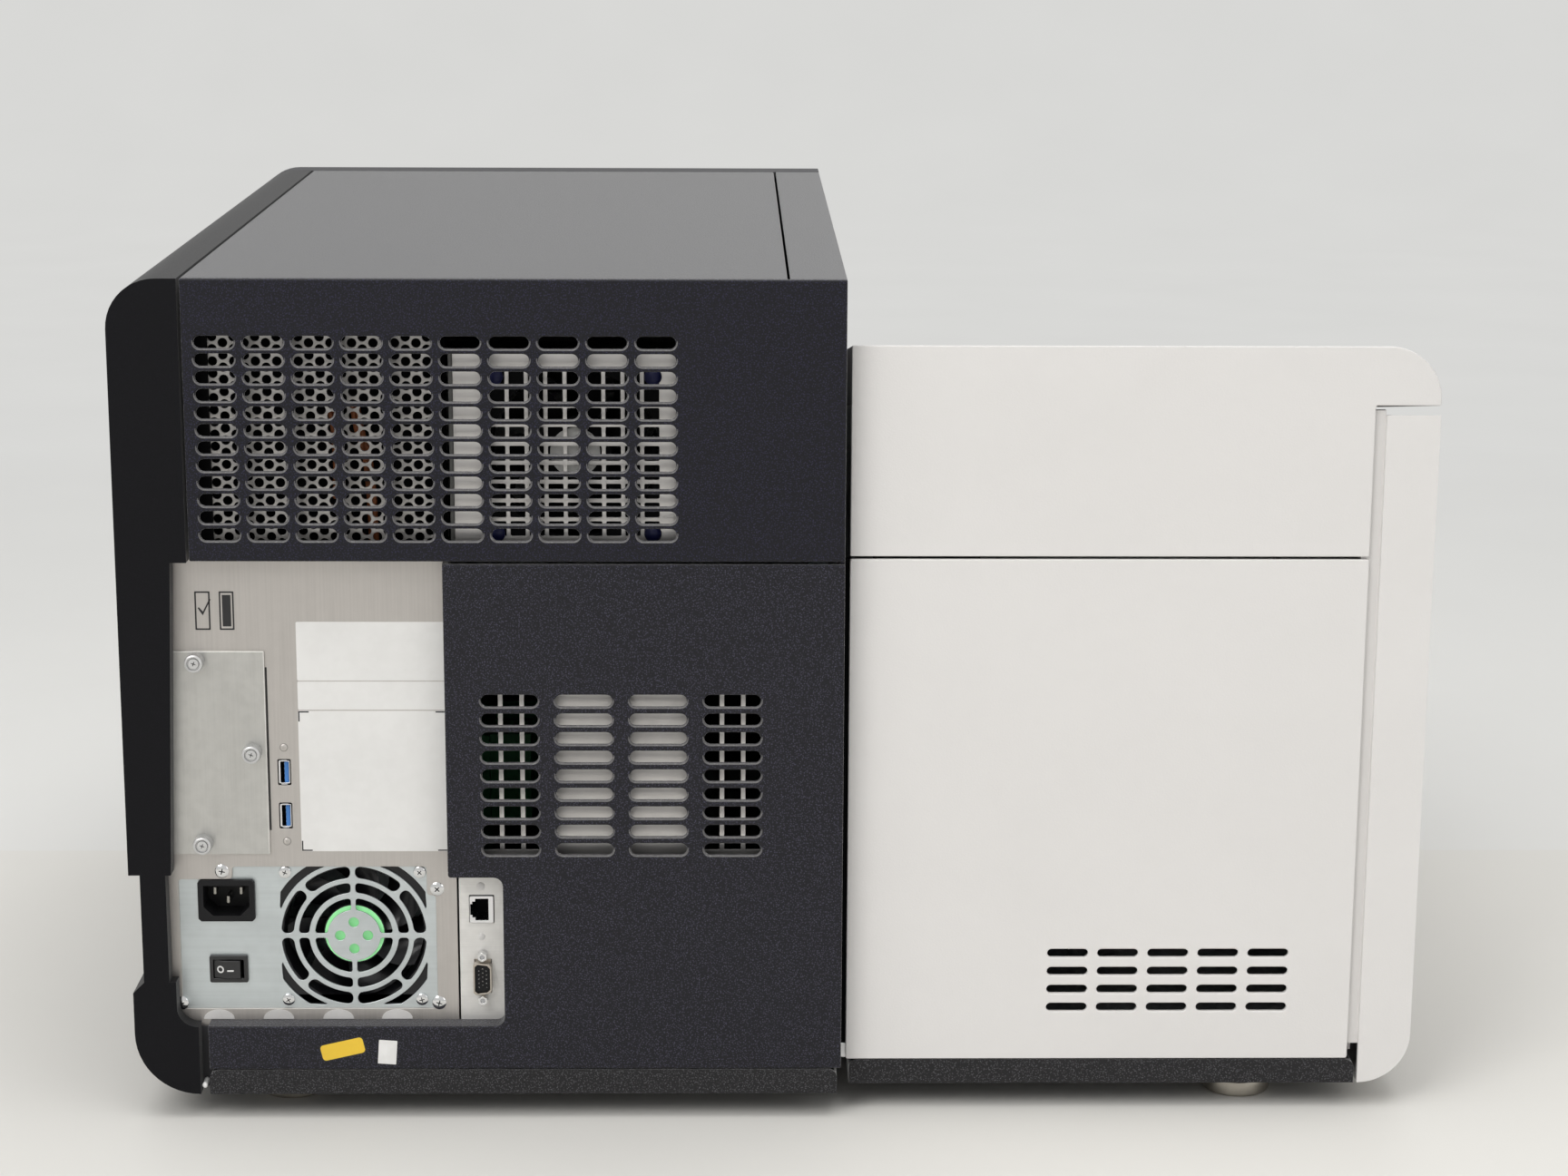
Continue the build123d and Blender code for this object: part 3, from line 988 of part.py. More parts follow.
def chiller_door():
    """Drop-down door of the chiller with its hinge barrel and pull."""
    x0, x1 = CHILLER_X[0] + EAR_T + RUN, CHILLER_X[1] - EAR_T - RUN
    y, z = CHILLER_PIVOT
    face = CHILLER_Y[0] - RUN
    front = face - CHILLER_DOOR_T
    door = block(x0, x1, front, face, z + 3, CHILLER_TOP - 2)
    door += prism_x(x0, x1, y, z, BARREL_R, PIN_SIDES)
    door += block(x0 + 35, x1 - 35, front - 4, front, CHILLER_TOP - 14, CHILLER_TOP - 8)
    return door - rod_x(x0 - 1, x1 + 1, y, z, PIN_R + SHAFT_CLEARANCE)


def sipper_manifold():
    """Raised manifold with its needles, running on the guide rods."""
    plate = block(CHILLER_X[0], CHILLER_X[1], GUIDE_Y - 50, GUIDE_Y + 50, SIPPER_Z, SIPPER_Z + SIPPER_T)
    for x in GUIDE_X:
        bore_r = GUIDE_R + 2 * SHAFT_CLEARANCE
        plate -= prism_z(x, GUIDE_Y, SIPPER_Z - 1, SIPPER_Z + SIPPER_T + 1, bore_r, PIN_SIDES)
    r = NEEDLE_R
    for at in needle_spots():
        plate += block(at.X - r, at.X + r, at.Y - r, at.Y + r, CHILLER_TOP + NEEDLE_GAP, SIPPER_Z)
    return plate


def sipper_handle():
    """Handle that raises and lowers the manifold."""
    front = GUIDE_Y - 50
    x0, x1 = CHILLER_X[0] + 20, CHILLER_X[1] - 20
    bar_y, mid = front - HANDLE_REACH, SIPPER_Z + SIPPER_T / 2
    handle = prism_x(x0, x1, bar_y, mid, HANDLE_R, 16)
    for x in (x0, x1 - 8):
        handle += block(x, x + 8, bar_y, front, SIPPER_Z, SIPPER_Z + SIPPER_T)
    return handle


def waste_bottle():
    """Square waste bottle with its screw cap."""
    x0, y0 = LINER_X[1] - BOTTLE_INSET[0], LINER_Y[0] + BOTTLE_INSET[1]
    top = DECK_Z - BOTTLE_DROP
    shoulder = top - 26
    body = block(x0, x0 + BOTTLE_W, y0, y0 + BOTTLE_W, FLOOR_Z, shoulder)
    body = chamfer(body.edges().filter_by(Axis.Z), BOTTLE_R)
    x, y = x0 + BOTTLE_W / 2, y0 + BOTTLE_W / 2
    return body + prism_z(x, y, shoulder, top - 18, 15.0, 12) + prism_z(x, y, top - 18, top, 20.0, 16)


def chiller_heat_sink():
    """Finned heat sink behind the chiller."""
    x0, x1 = CHILLER_X[0] + 18, CHILLER_X[1] - 18
    y0 = LINER_Y[1]
    sink = block(x0, x1, y0, y0 + 8, BASE_TOP, CHILLER_TOP)
    fins = 8
    for index in range(fins):
        x = x0 + (x1 - x0 - 3) * index / (fins - 1)
        sink += block(x, x + 3, y0 + 8, y0 + 60, BASE_TOP, CHILLER_TOP)
    return sink


def syringe_pump():
    """Syringe pump with two syringes on its face."""
    x0, x1 = LINER_X[1] - 125, LINER_X[1] - 15
    y0, y1 = LINER_Y[1] + 40, LINER_Y[1] + 130
    low, high = BASE_TOP + PUMP_RISE, DECK_Z - PUMP_DROP
    pump = block(x0, x1, y0, y1, BASE_TOP, DECK_Z - 15)
    for x in (x0 + 30, x1 - 30):
        pump += prism_z(x, y1 + 12, low + 10, high - 15, 9.0, 8)
        for z0, z1 in ((high - 15, high), (low, low + 10)):
            pump += block(x - 12, x + 12, y1, y1 + 22, z0, z1)
    return pump


# ---- Flow cell compartment -------------------------------------------------------------------------------------------------
def flow_cell_deck():
    """Deck between the compartments, with the door's hinge posts and the stage rails."""
    x0, x1 = -X_OUT + 1, WHITE_X - 1
    front = WHITE_FRONT_Y + 1
    lip = rect(x0, x1, front, DOOR_FRONT_Y + 2)
    lip = fillet(corners(lip, x0, front), WHITE_CORNER_R - 1)
    deck = Pos(0, 0, DECK_Z) * extrude(lip, amount=DECK_T, dir=(0, 0, 1))
    deck += block(-X_OUT + COVER_T + 0.5, x1, DOOR_FRONT_Y + 2, LINER_Y[1] + 10, DECK_Z, DECK_TOP)
    y, z = UPPER_PIVOT
    for px0, px1 in POST_X:
        deck += block(px0, px1, y - 6, y + KNUCKLE_R, DECK_TOP, z)
        deck += prism_x(px0, px1, y, z, KNUCKLE_R, PIN_SIDES)
    for inset in RAIL_INSET:
        rail_y = STAGE_Y + inset
        deck += block(LINER_X[0] + 20, LINER_X[1] - 14, rail_y - RAIL / 2, rail_y + RAIL / 2, DECK_TOP, STAGE_Z)
    return deck


def flow_cell_stage():
    """Stage on the rails, with the flow cell's seat, clamp ears and button well."""
    w, d, h = STAGE_SIZE
    stage = block(STAGE_X, STAGE_X + w, STAGE_Y, STAGE_Y + d, STAGE_Z, STAGE_TOP)
    stage -= block(CLAMP_X[0] - 8, CLAMP_X[1] + 8, STAGE_Y + 12, STAGE_Y + 40, STAGE_TOP - 1.2, STAGE_TOP + 1)
    well_r = (BUTTON_R + RUN) / cos(radians(180 / BUTTON_SIDES))
    stage -= prism_z(*BUTTON_AT, STAGE_TOP - 7, STAGE_TOP + 1, well_r, BUTTON_SIDES)
    y, z = CLAMP_PIVOT
    for x in (CLAMP_X[0] - 5, CLAMP_X[1] + 1):
        stage += block(x, x + 4, y - 4, y + 5, STAGE_TOP, z + 4)
    return stage + prism_x(CLAMP_X[0] - 2, CLAMP_X[1] + 2, y, z, CLAMP_PIN_R, PIN_SIDES)


def flow_cell_clamp():
    """Clamp frame that holds the flow cell down, turning on the stage's pin."""
    y, z = CLAMP_PIVOT
    x0, x1 = CLAMP_X[0] + RUN, CLAMP_X[1] - RUN
    low = STAGE_TOP + RUN
    clamp = block(x0, x1, STAGE_Y + 6, y, low, low + CLAMP_T)
    clamp -= block(x0 + 10, x1 - 10, STAGE_Y + 14, STAGE_Y + 38, low - 1, low + CLAMP_T + 1)
    clamp += prism_x(x0, x1, y, z, CLAMP_PIN_R + 1.8, PIN_SIDES)
    return clamp - rod_x(x0 - 1, x1 + 1, y, z, CLAMP_PIN_R + SHAFT_CLEARANCE)


def release_button():
    return prism_z(*BUTTON_AT, STAGE_TOP - 3.5, STAGE_TOP + 4, BUTTON_R, BUTTON_SIDES)


def imaging_head():
    """Imaging head over the inner end of the stage, with its objective."""
    x1 = UPPER_LUGS[1][0] - 3
    x0 = x1 - HEAD_W
    y0, foot_y = STAGE_Y - 28, UPPER_PIVOT[0] - 18
    low, high = STAGE_TOP + HEAD_GAP, STAGE_TOP + HEAD_GAP + 40
    head = block(x0, x1, y0, foot_y, low, high) + block(x0, x1, foot_y, foot_y + 45, DECK_TOP, high)
    x, y = (x0 + x1) / 2, STAGE_Y + 40
    return head + prism_z(x, y, low - 7, low, 14.0, 16) + prism_z(x, y, low - 9, low - 7, 9.0, 12)


NODES = {
    "base_tray_black": base_tray_black,
    "base_tray_white": base_tray_white,
    "baseplate": baseplate,
    "leveling_feet": leveling_feet,
    "black_side_cover": black_side_cover,
    "top_cover": top_cover,
    "divider_panel": divider_panel,
    "rear_cover_upper": rear_cover_upper,
    "rear_cover_lower": rear_cover_lower,
    "io_panel": io_panel,
    "access_plate": access_plate,
    "thumb_screw_upper": lambda: thumb_screw(0),
    "thumb_screw_middle": lambda: thumb_screw(1),
    "thumb_screw_lower": lambda: thumb_screw(2),
    "usb_sockets": usb_sockets,
    "port_bracket": port_bracket,
    "ethernet_jack": ethernet_jack,
    "video_connector": video_connector,
    "psu_case": psu_case,
    "psu_screws": psu_screws,
    "psu_fan_frame": psu_fan_frame,
    "psu_fan_rotor": psu_fan_rotor,
    "power_inlet": power_inlet,
    "inlet_pins": inlet_pins,
    "switch_frame": switch_frame,
    "switch_rocker": switch_rocker,
    "fan_mount_plate": fan_mount_plate,
    "rear_fan_frame": rear_fan_frame,
    "rear_fan_rotor": rear_fan_rotor,
    "rear_fan_guard": rear_fan_guard,
    "perforated_shield": perforated_shield,
    "vent_baffle": vent_baffle,
    "front_bezel": front_bezel,
    "touch_screen": touch_screen,
    "monitor_module": monitor_module,
    "status_bar": status_bar,
    "front_usb_socket": front_usb_socket,
    "main_board": main_board,
    "disk_drive": disk_drive,
    "equipment_shelf": equipment_shelf,
    "optics_housing": optics_housing,
    "white_upper_cover": white_upper_cover,
    "white_rear_panel": white_rear_panel,
    "white_side_cover": white_side_cover,
    "flow_cell_door": flow_cell_door,
    "reagent_door": reagent_door,
    "hinge_pins": hinge_pins,
    "reagent_liner": reagent_liner,
    "reagent_chiller": reagent_chiller,
    "chiller_door": chiller_door,
    "sipper_manifold": sipper_manifold,
    "sipper_handle": sipper_handle,
    "waste_bottle": waste_bottle,
    "chiller_heat_sink": chiller_heat_sink,
    "syringe_pump": syringe_pump,
    "flow_cell_deck": flow_cell_deck,
    "flow_cell_stage": flow_cell_stage,
    "flow_cell_clamp": flow_cell_clamp,
    "release_button": release_button,
    "imaging_head": imaging_head,
}

for name, make in NODES.items():
    export_step(make(), f"parts/{name}.step")
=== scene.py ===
"""Benchtop sequencer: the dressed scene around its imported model.

Lengths are millimetres in the model's own frame: +X to the right seen from the front, +Y to the rear,
+Z up. Meshes, camera and lamps are in metres.
"""

import json
import logging
import math
from dataclasses import dataclass, replace
from enum import Enum
from typing import Callable, Dict, List, Optional, Sequence, Tuple

import bmesh
import bpy
from mathutils import Matrix, Vector


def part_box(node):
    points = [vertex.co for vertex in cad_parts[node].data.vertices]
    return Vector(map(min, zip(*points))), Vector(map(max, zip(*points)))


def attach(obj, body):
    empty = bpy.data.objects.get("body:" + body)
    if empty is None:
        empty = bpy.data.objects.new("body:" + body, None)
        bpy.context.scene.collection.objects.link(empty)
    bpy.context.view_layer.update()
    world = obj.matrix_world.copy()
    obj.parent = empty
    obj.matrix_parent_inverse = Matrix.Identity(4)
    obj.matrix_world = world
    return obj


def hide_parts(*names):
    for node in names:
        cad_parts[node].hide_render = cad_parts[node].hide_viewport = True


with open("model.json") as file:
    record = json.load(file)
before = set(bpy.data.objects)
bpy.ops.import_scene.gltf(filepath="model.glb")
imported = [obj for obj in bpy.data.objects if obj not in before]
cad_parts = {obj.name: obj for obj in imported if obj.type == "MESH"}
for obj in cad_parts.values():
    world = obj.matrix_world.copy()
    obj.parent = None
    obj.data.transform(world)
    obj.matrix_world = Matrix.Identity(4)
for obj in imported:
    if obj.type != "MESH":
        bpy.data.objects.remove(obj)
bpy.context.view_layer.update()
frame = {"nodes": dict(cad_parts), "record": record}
LOG = logging.getLogger("sequencer")
MM = 0.001
Point = Tuple[float, float]
Place = Tuple[float, float, float]
Colour = Tuple[float, float, float]
Loop = List[Point]
Piece = bpy.types.Object
Node = bpy.types.Node
Output = bpy.types.NodeSocket
Sockets = bpy.types.bpy_prop_collection


# ---- Node boxes ----
@dataclass(frozen=True)
class Extent:
    """Lowest and highest corner of a node at rest."""

    x0: float
    x1: float
    y0: float
    y1: float
    z0: float
    z1: float

    @classmethod
    def of(cls, node: str) -> "Extent":
        """Reads a node's box from the frame."""
        low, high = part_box(node)
        pairs = [(low[i] / MM, high[i] / MM) for i in range(3)]
        return cls(*pairs[0], *pairs[1], *pairs[2])

    def outline(self, corner: float, steps: int) -> Loop:
        """Outline of the box in X and Z with round corners."""
        return round_rect(self.x0, self.x1, self.z0, self.z1, corner, steps)


# ---- Outlines in X and Z ----
def arc(x: float, z: float, r: float, start: float, end: float, steps: int) -> Loop:
    """Points along an arc, both ends among them.

    Args:
        x: Centre in X.
        z: Centre in Z.
        r: Radius.
        start: First angle in degrees.
        end: Last angle in degrees.
        steps: Number of chords.

    Returns:
        The points.
    """
    turns = [math.radians(start + (end - start) * i / steps) for i in range(steps + 1)]
    return [(x + r * math.cos(t), z + r * math.sin(t)) for t in turns]


def circle(x: float, z: float, r: float, steps: int) -> Loop:
    """Closed circle as a loop of points."""
    return arc(x, z, r, 0.0, 360.0, steps)[:-1]


def round_rect(x0: float, x1: float, z0: float, z1: float, r: float, steps: int = 5) -> Loop:
    """Rectangle with round corners.

    Args:
        x0: Low side in X.
        x1: High side in X.
        z0: Low side in Z.
        z1: High side in Z.
        r: Corner radius.
        steps: Chords in each corner.

    Returns:
        The outline, counter-clockwise.
    """
    loop: Loop = []
    for cx, cz, start in ((x1 - r, z0 + r, -90.0), (x1 - r, z1 - r, 0.0), (x0 + r, z1 - r, 90.0),
                          (x0 + r, z0 + r, 180.0)):
        loop += arc(cx, cz, r, start, start + 90.0, steps)
    return loop


def ring_slot(centre: Point, radii: Point, angles: Point, bar: float, corner: float) -> Loop:
    """Slot cut from a ring between two bars, with round corners.

    Args:
        centre: Ring centre in X and Z.
        radii: Inner and outer radius.
        angles: Middle line of the bar at each end, in degrees.
        bar: Width of the bars.
        corner: Corner radius.

    Returns:
        The outline.
    """
    chords = 18
    inner, outer = radii
    length = (inner + outer) / 2 * math.radians(angles[1] - angles[0]) - bar
    flat = round_rect(0.0, length, inner, outer, corner)
    dense: Loop = []
    for (s, r), (following, _) in zip(flat, flat[1:] + flat[:1]):
        dense.append((s, r))
        if abs(following - s) > length / 3:
            dense += [(s + (following - s) * k / chords, r) for k in range(1, chords)]
    loop: Loop = []
    for s, r in dense:
        low = math.radians(angles[0]) + math.asin(bar / 2 / r)
        high = math.radians(angles[1]) - math.asin(bar / 2 / r)
        t = low + (high - low) * s / length
        loop.append((centre[0] + r * math.cos(t), centre[1] + r * math.sin(t)))
    return loop


def turned(loop: Sequence[Point], centre: Point, degrees: float) -> Loop:
    """Loop drawn about zero, turned and moved to its centre."""
    (cx, cz), a = centre, math.radians(degrees)
    return [(cx + u * math.cos(a) - w * math.sin(a), cz + u * math.sin(a) + w * math.cos(a)) for u, w in loop]


def rounded(loop: Loop, r: float, steps: int = 4) -> Loop:
    """Loop with every corner rounded.

    Args:
        loop: Corners of the loop.
        r: Length that each rounding takes from its two sides.
        steps: Chords in each rounding.

    Returns:
        The rounded loop.
    """
    made: Loop = []
    for i, (x, z) in enumerate(loop):
        ends = []
        for ox, oz in (loop[i - 1], loop[(i + 1) % len(loop)]):
            length = math.hypot(ox - x, oz - z)
            share = min(r, length * 0.45) / length
            ends.append((x + (ox - x) * share, z + (oz - z) * share))
        (ax, az), (bx, bz) = ends
        for k in range(steps + 1):
            t = k / steps
            made.append(((1 - t) ** 2 * ax + 2 * t * (1 - t) * x + t * t * bx,
                         (1 - t) ** 2 * az + 2 * t * (1 - t) * z + t * t * bz))
    return made


# ---- Mesh making ----
class Axis(Enum):
    """Direction that a turned piece points along, with the turn that takes +Z there."""

    Y = Matrix.Rotation(-math.pi / 2, 4, "X")
    Z = Matrix.Identity(4)


def link(name: str, data: bpy.types.ID) -> Piece:
    """Adds an object that shows a mesh, curve, lamp or camera."""
    made = bpy.data.objects.new(name, data)
    bpy.context.scene.collection.objects.link(made)
    return made


def wrap(name: str, mesh: bpy.types.Mesh, angle: float) -> Piece:
    """Merges doubled points, shades smooth, keeps sharp edges and links the mesh.

    Args:
        name: Name of the piece.
        mesh: Mesh to show.
        angle: Angle in degrees from which an edge stays sharp.

    Returns:
        The linked piece.
    """
    bm = bmesh.new()
    bm.from_mesh(mesh)
    bmesh.ops.remove_doubles(bm, verts=bm.verts, dist=1e-6)
    bmesh.ops.recalc_face_normals(bm, faces=bm.faces)
    for face in bm.faces:
        face.smooth = True
    for edge in bm.edges:
        edge.smooth = len(edge.link_faces) == 2 and edge.calc_face_angle(0.0) < math.radians(angle)
    bm.to_mesh(mesh)
    bm.free()
    mesh.name = name
    return link(name, mesh)


def from_bm(name: str, bm: bmesh.types.BMesh, angle: float = 32.0) -> Piece:
    """Turns a bmesh into a linked piece and frees it."""
    mesh = bpy.data.meshes.new(name)
    bm.to_mesh(mesh)
    bm.free()
    return wrap(name, mesh, angle)


def from_curve(curve: bpy.types.Curve, lines: Sequence[Sequence[Place]], closed: bool, turn: Matrix,
               angle: float) -> Piece:
    """Meshes a curve of straight lines.

    Args:
        curve: Curve with its width, depth and bevel set.
        lines: Points of each line, in metres.
        closed: Whether the lines run back to their start.
        turn: Matrix that takes the mesh to its place.
        angle: Angle in degrees from which an edge stays sharp.

    Returns:
        The linked piece.
    """
    name = curve.name
    for line in lines:
        spline = curve.splines.new("POLY")
        spline.points.add(len(line) - 1)
        for point, place in zip(spline.points, line):
            point.co = (*place, 1.0)
        spline.use_cyclic_u = closed
    holder = link(name, curve)
    bpy.context.view_layer.update()
    mesh = bpy.data.meshes.new_from_object(holder.evaluated_get(bpy.context.evaluated_depsgraph_get()))
    bpy.data.objects.remove(holder)
    bpy.data.curves.remove(curve)
    mesh.transform(turn)
    return wrap(name, mesh, angle)


def plate(name: str, outline: Loop, holes: Sequence[Loop], y0: float, y1: float, edge: float = 0.3) -> Piece:
    """Upright plate with rolled edges, drawn in X and Z.

    Args:
        name: Name of the piece.
        outline: Outer loop.
        holes: Inner loops.
        y0: Front face.
        y1: Rear face.
        edge: Radius of every edge.

    Returns:
        The linked piece.
    """
    curve = bpy.data.curves.new(name, "CURVE")
    curve.dimensions = "2D"
    curve.fill_mode = "BOTH"
    curve.extrude = ((y1 - y0) / 2 - edge) * MM
    curve.bevel_depth = edge * MM
    curve.bevel_resolution = 2
    curve.offset = -edge * MM
    lines = [[(x * MM, z * MM, 0.0) for x, z in loop] for loop in (outline, *holes)]
    place = Matrix.Translation((0, (y0 + y1) / 2 * MM, 0)) @ Matrix.Rotation(math.pi / 2, 4, "X")
    return from_curve(curve, lines, True, place, 32.0)


def tube(name: str, path: Sequence[Place], r: float) -> Piece:
    """Round rod along a path."""
    curve = bpy.data.curves.new(name, "CURVE")
    curve.dimensions = "3D"
    curve.bevel_depth = r * MM
    curve.bevel_resolution = 2
    curve.use_fill_caps = True
    return from_curve(curve, [[Vector(place) * MM for place in path]], False, Matrix.Identity(4), 50.0)


def lathe(name: str, profile: Loop, at: Place, sides: int, axis: Axis = Axis.Y) -> Piece:
    """Turned piece.

    Args:
        name: Name of the piece.
        profile: Radius and height along the axis, from one end to the other.
        at: Origin of the profile.
        sides: Facets round it.
        axis: Axis of the piece.

    Returns:
        The linked piece.
    """
    bm = bmesh.new()
    rings: List[List[bmesh.types.BMVert]] = []
    for r, h in profile:
        turns = [2 * math.pi * i / sides for i in range(1 if r < 1e-6 else sides)]
        rings.append([bm.verts.new((r * math.cos(t) * MM, r * math.sin(t) * MM, h * MM)) for t in turns])
    for low, high in zip(rings, rings[1:]):
        for i in range(sides):
            j = (i + 1) % sides
            corners = [low[i % len(low)], low[j % len(low)], high[j % len(high)], high[i % len(high)]]
            unique = list(dict.fromkeys(corners))
            if len(unique) > 2:
                bm.faces.new(unique)
    for ring in (rings[0], rings[-1]):
        if len(ring) > 2:
            bm.faces.new(ring)
    bm.transform(Matrix.Translation(Vector(at) * MM) @ axis.value)
    return from_bm(name, bm)


def slab(name: str, low: Place, high: Place, edge: float = 0.3, segments: int = 2) -> Piece:
    """Block between two corners with rounded edges.

    Args:
        name: Name of the piece.
        low: Low corner.
        high: High corner.
        edge: Edge radius.
        segments: Facets in each rounding.

    Returns:
        The linked piece.
    """
    bm = bmesh.new()
    bmesh.ops.create_cube(bm, size=1.0)
    size = [(high[i] - low[i]) * MM for i in range(3)]
    centre = Vector([(high[i] + low[i]) / 2 * MM for i in range(3)])
    bm.transform(Matrix.Translation(centre) @ Matrix.Diagonal((*size, 1.0)))
    bmesh.ops.bevel(bm, geom=bm.edges[:], offset=edge * MM, segments=segments, profile=0.5, affect="EDGES")
    return from_bm(name, bm)


def softened(node: str, width: float, segments: int) -> Piece:
    """Copy of a node with its hard edges rolled over.

    Args:
        node: Node whose shape is copied.
        width: Edge radius.
        segments: Facets in each rolled edge; with more than one, flat facets are merged first.

    Returns:
        The linked piece.
    """
    bm = bmesh.new()
    bm.from_mesh(frame["nodes"][node].data)
    bmesh.ops.remove_doubles(bm, verts=bm.verts, dist=2e-6)
    if segments > 1:
        bmesh.ops.dissolve_limit(bm, angle_limit=math.radians(0.6), verts=bm.verts, edges=bm.edges)
    hard = [e for e in bm.edges if len(e.link_faces) == 2 and e.calc_face_angle(0.0) > math.radians(34)]
    bmesh.ops.bevel(bm, geom=hard, offset=width * MM, segments=segments, profile=0.5, affect="EDGES",
                    clamp_overlap=True, miter_outer="ARC" if segments > 1 else "SHARP")
    return from_bm(f"{node}_dressed", bm, 34.0)


def joined(name: str, parts: Sequence[Piece]) -> Piece:
    """Joins pieces of one finish into one piece; the parts are used up."""
    bm = bmesh.new()
    for part in parts:
        mesh = part.data
        bm.from_mesh(mesh)
        bpy.data.objects.remove(part)
        bpy.data.meshes.remove(mesh)
    mesh = bpy.data.meshes.new(name)
    bm.to_mesh(mesh)
    bm.free()
    return link(name, mesh)


# ---- Node graphs ----
@dataclass
class Graph:
    """Thin wrapper that adds and links the nodes of one tree."""

    tree: bpy.types.NodeTree

    def add(self, kind: str, inputs: Optional[Dict[str, object]] = None, **settings: object) -> Node:
        """Adds a node.

        Args:
            kind: Blender's name for the node type.
            inputs: Socket name or number to a value or to an output.
            **settings: Attributes of the node.

        Returns:
            The new node.
        """
        node = self.tree.nodes.new(kind)
        for key, value in settings.items():
            setattr(node, key, value)
        self.fill(node, inputs or {})
        return node

    def fill(self, node: Node, inputs: Dict[str, object]) -> None:
        """Links each named input to an output, or sets its own value."""
        for key, value in inputs.items():
            socket = node.inputs[int(key)] if key.isdigit() else node.inputs[key]
            if isinstance(value, Output):
                self.tree.links.new(value, socket)
            else:
                socket.default_value = value

    def math(self, operation: str, a: object, b: object, clamp: bool = False) -> Output:
        """Adds a Math node and returns its output."""
        return self.add("ShaderNodeMath", {"0": a, "1": b}, operation=operation, use_clamp=clamp).outputs[0]

    def span(self, value: Output, low: float, high: float, to_low: float, to_high: float) -> Output:
        """Maps a range of values onto another, clamped."""
        ends = {"Value": value, "From Min": low, "From Max": high, "To Min": to_low, "To Max": to_high}
        return self.add("ShaderNodeMapRange", ends).outputs["Result"]

    def mix(self, factor: object, a: object, b: object) -> Output:
        """Mixes two colours."""
        return self.add("ShaderNodeMix", {"0": factor, "6": a, "7": b}, data_type="RGBA").outputs[2]

    def noise(self, place: Output, scale: object, detail: float, rough: float = 0.5) -> Output:
        """Adds a Noise texture and returns its value."""
        inputs = {"Vector": place, "Scale": scale, "Detail": detail, "Roughness": rough}
        return self.add("ShaderNodeTexNoise", inputs).outputs["Fac"]

    def place(self) -> Output:
        """Place on the object, in metres."""
        return self.add("ShaderNodeTexCoord").outputs["Object"]

    def relief(self, shader: Node, height: Output, depth: float, strength: float = 1.0) -> None:
        """Raises a height map on a shader, its depth in millimetres."""
        bump = self.add("ShaderNodeBump", {"Height": height, "Distance": depth * MM, "Strength": strength})
        self.fill(shader, {"Normal": bump.outputs[0]})


@dataclass(frozen=True)
class Effect:
    """Effect that many finishes share: a node group that is built once.

    Attributes:
        name: Name of the group.
        wire: Function that wires the group from its inputs to its outputs.
        inputs: Name and default of each input.
        outputs: Name of each output.
    """

    name: str
    wire: Callable[[Graph, Sockets, Sockets], None]
    inputs: Dict[str, float]
    outputs: Tuple[str, ...]

    def tree(self) -> bpy.types.NodeTree:
        """Builds the group, or hands back the one that is there."""
        ready = bpy.data.node_groups.get(self.name)
        if ready:
            return ready
        tree = bpy.data.node_groups.new(self.name, "ShaderNodeTree")
        for label, default in self.inputs.items():
            socket = tree.interface.new_socket(name=label, in_out="INPUT", socket_type="NodeSocketFloat")
            socket.default_value = default
        for label in self.outputs:
            tree.interface.new_socket(name=label, in_out="OUTPUT", socket_type="NodeSocketFloat")
        g = Graph(tree)
        self.wire(g, g.add("NodeGroupInput").outputs, g.add("NodeGroupOutput").inputs)
        return tree

    def use(self, g: Graph, inputs: Dict[str, float]) -> Sockets:
        """Adds the group to a graph and returns its outputs."""
        return g.add("ShaderNodeGroup", inputs, node_tree=self.tree()).outputs


def wire_stipple(g: Graph, source: Sockets, sink: Sockets) -> None:
    """Wires fine bumps with a slow drift under them.

    Args:
        g: Graph of the group.
        source: How many grains, and how much drift, to the metre.
        sink: Height, Speck (mask of single grains) and Drift (slow mask).
    """
    place = g.place()
    cells = g.add("ShaderNodeTexVoronoi", {"Vector": place, "Scale": source["Grains per m"],
                                           "Randomness": 0.95},
                  feature="SMOOTH_F1")
    g.fill(cells, {"Smoothness": 0.55})
    ripple = g.noise(place, g.math("MULTIPLY", source["Grains per m"], 0.9), 2.0, 0.6)
    slow = g.noise(place, source["Drift per m"], 5.0, 0.55)
    dome = g.span(cells.outputs["Distance"], 0.05, 0.62, 1.0, 0.0)
    height = g.math("ADD", g.math("MULTIPLY", dome, 0.7), g.math("MULTIPLY", ripple, 0.3))
    g.tree.links.new(height, sink["Height"])
    g.tree.links.new(g.span(height, 0.42, 0.74, 0.0, 1.0), sink["Speck"])
    g.tree.links.new(g.span(slow, 0.36, 0.64, 0.0, 1.0), sink["Drift"])


def wire_edge_wear(g: Graph, source: Sockets, sink: Sockets) -> None:
    """Wires a mask of rubbed edges: where the surface turns sharply, broken up by noise.

    Args:
        g: Graph of the group.
        source: Amount of wear.
        sink: Mask.
    """
    bend = g.add("ShaderNodeNewGeometry").outputs["Pointiness"]
    noise = g.noise(g.place(), 160.0, 4.0)
    worn = g.math("MULTIPLY", g.span(bend, 0.505, 0.56, 0.0, 1.0), g.span(noise, 0.38, 0.62, 0.25, 1.0))
    g.tree.links.new(g.math("MULTIPLY", worn, source["Amount"], clamp=True), sink["Mask"])


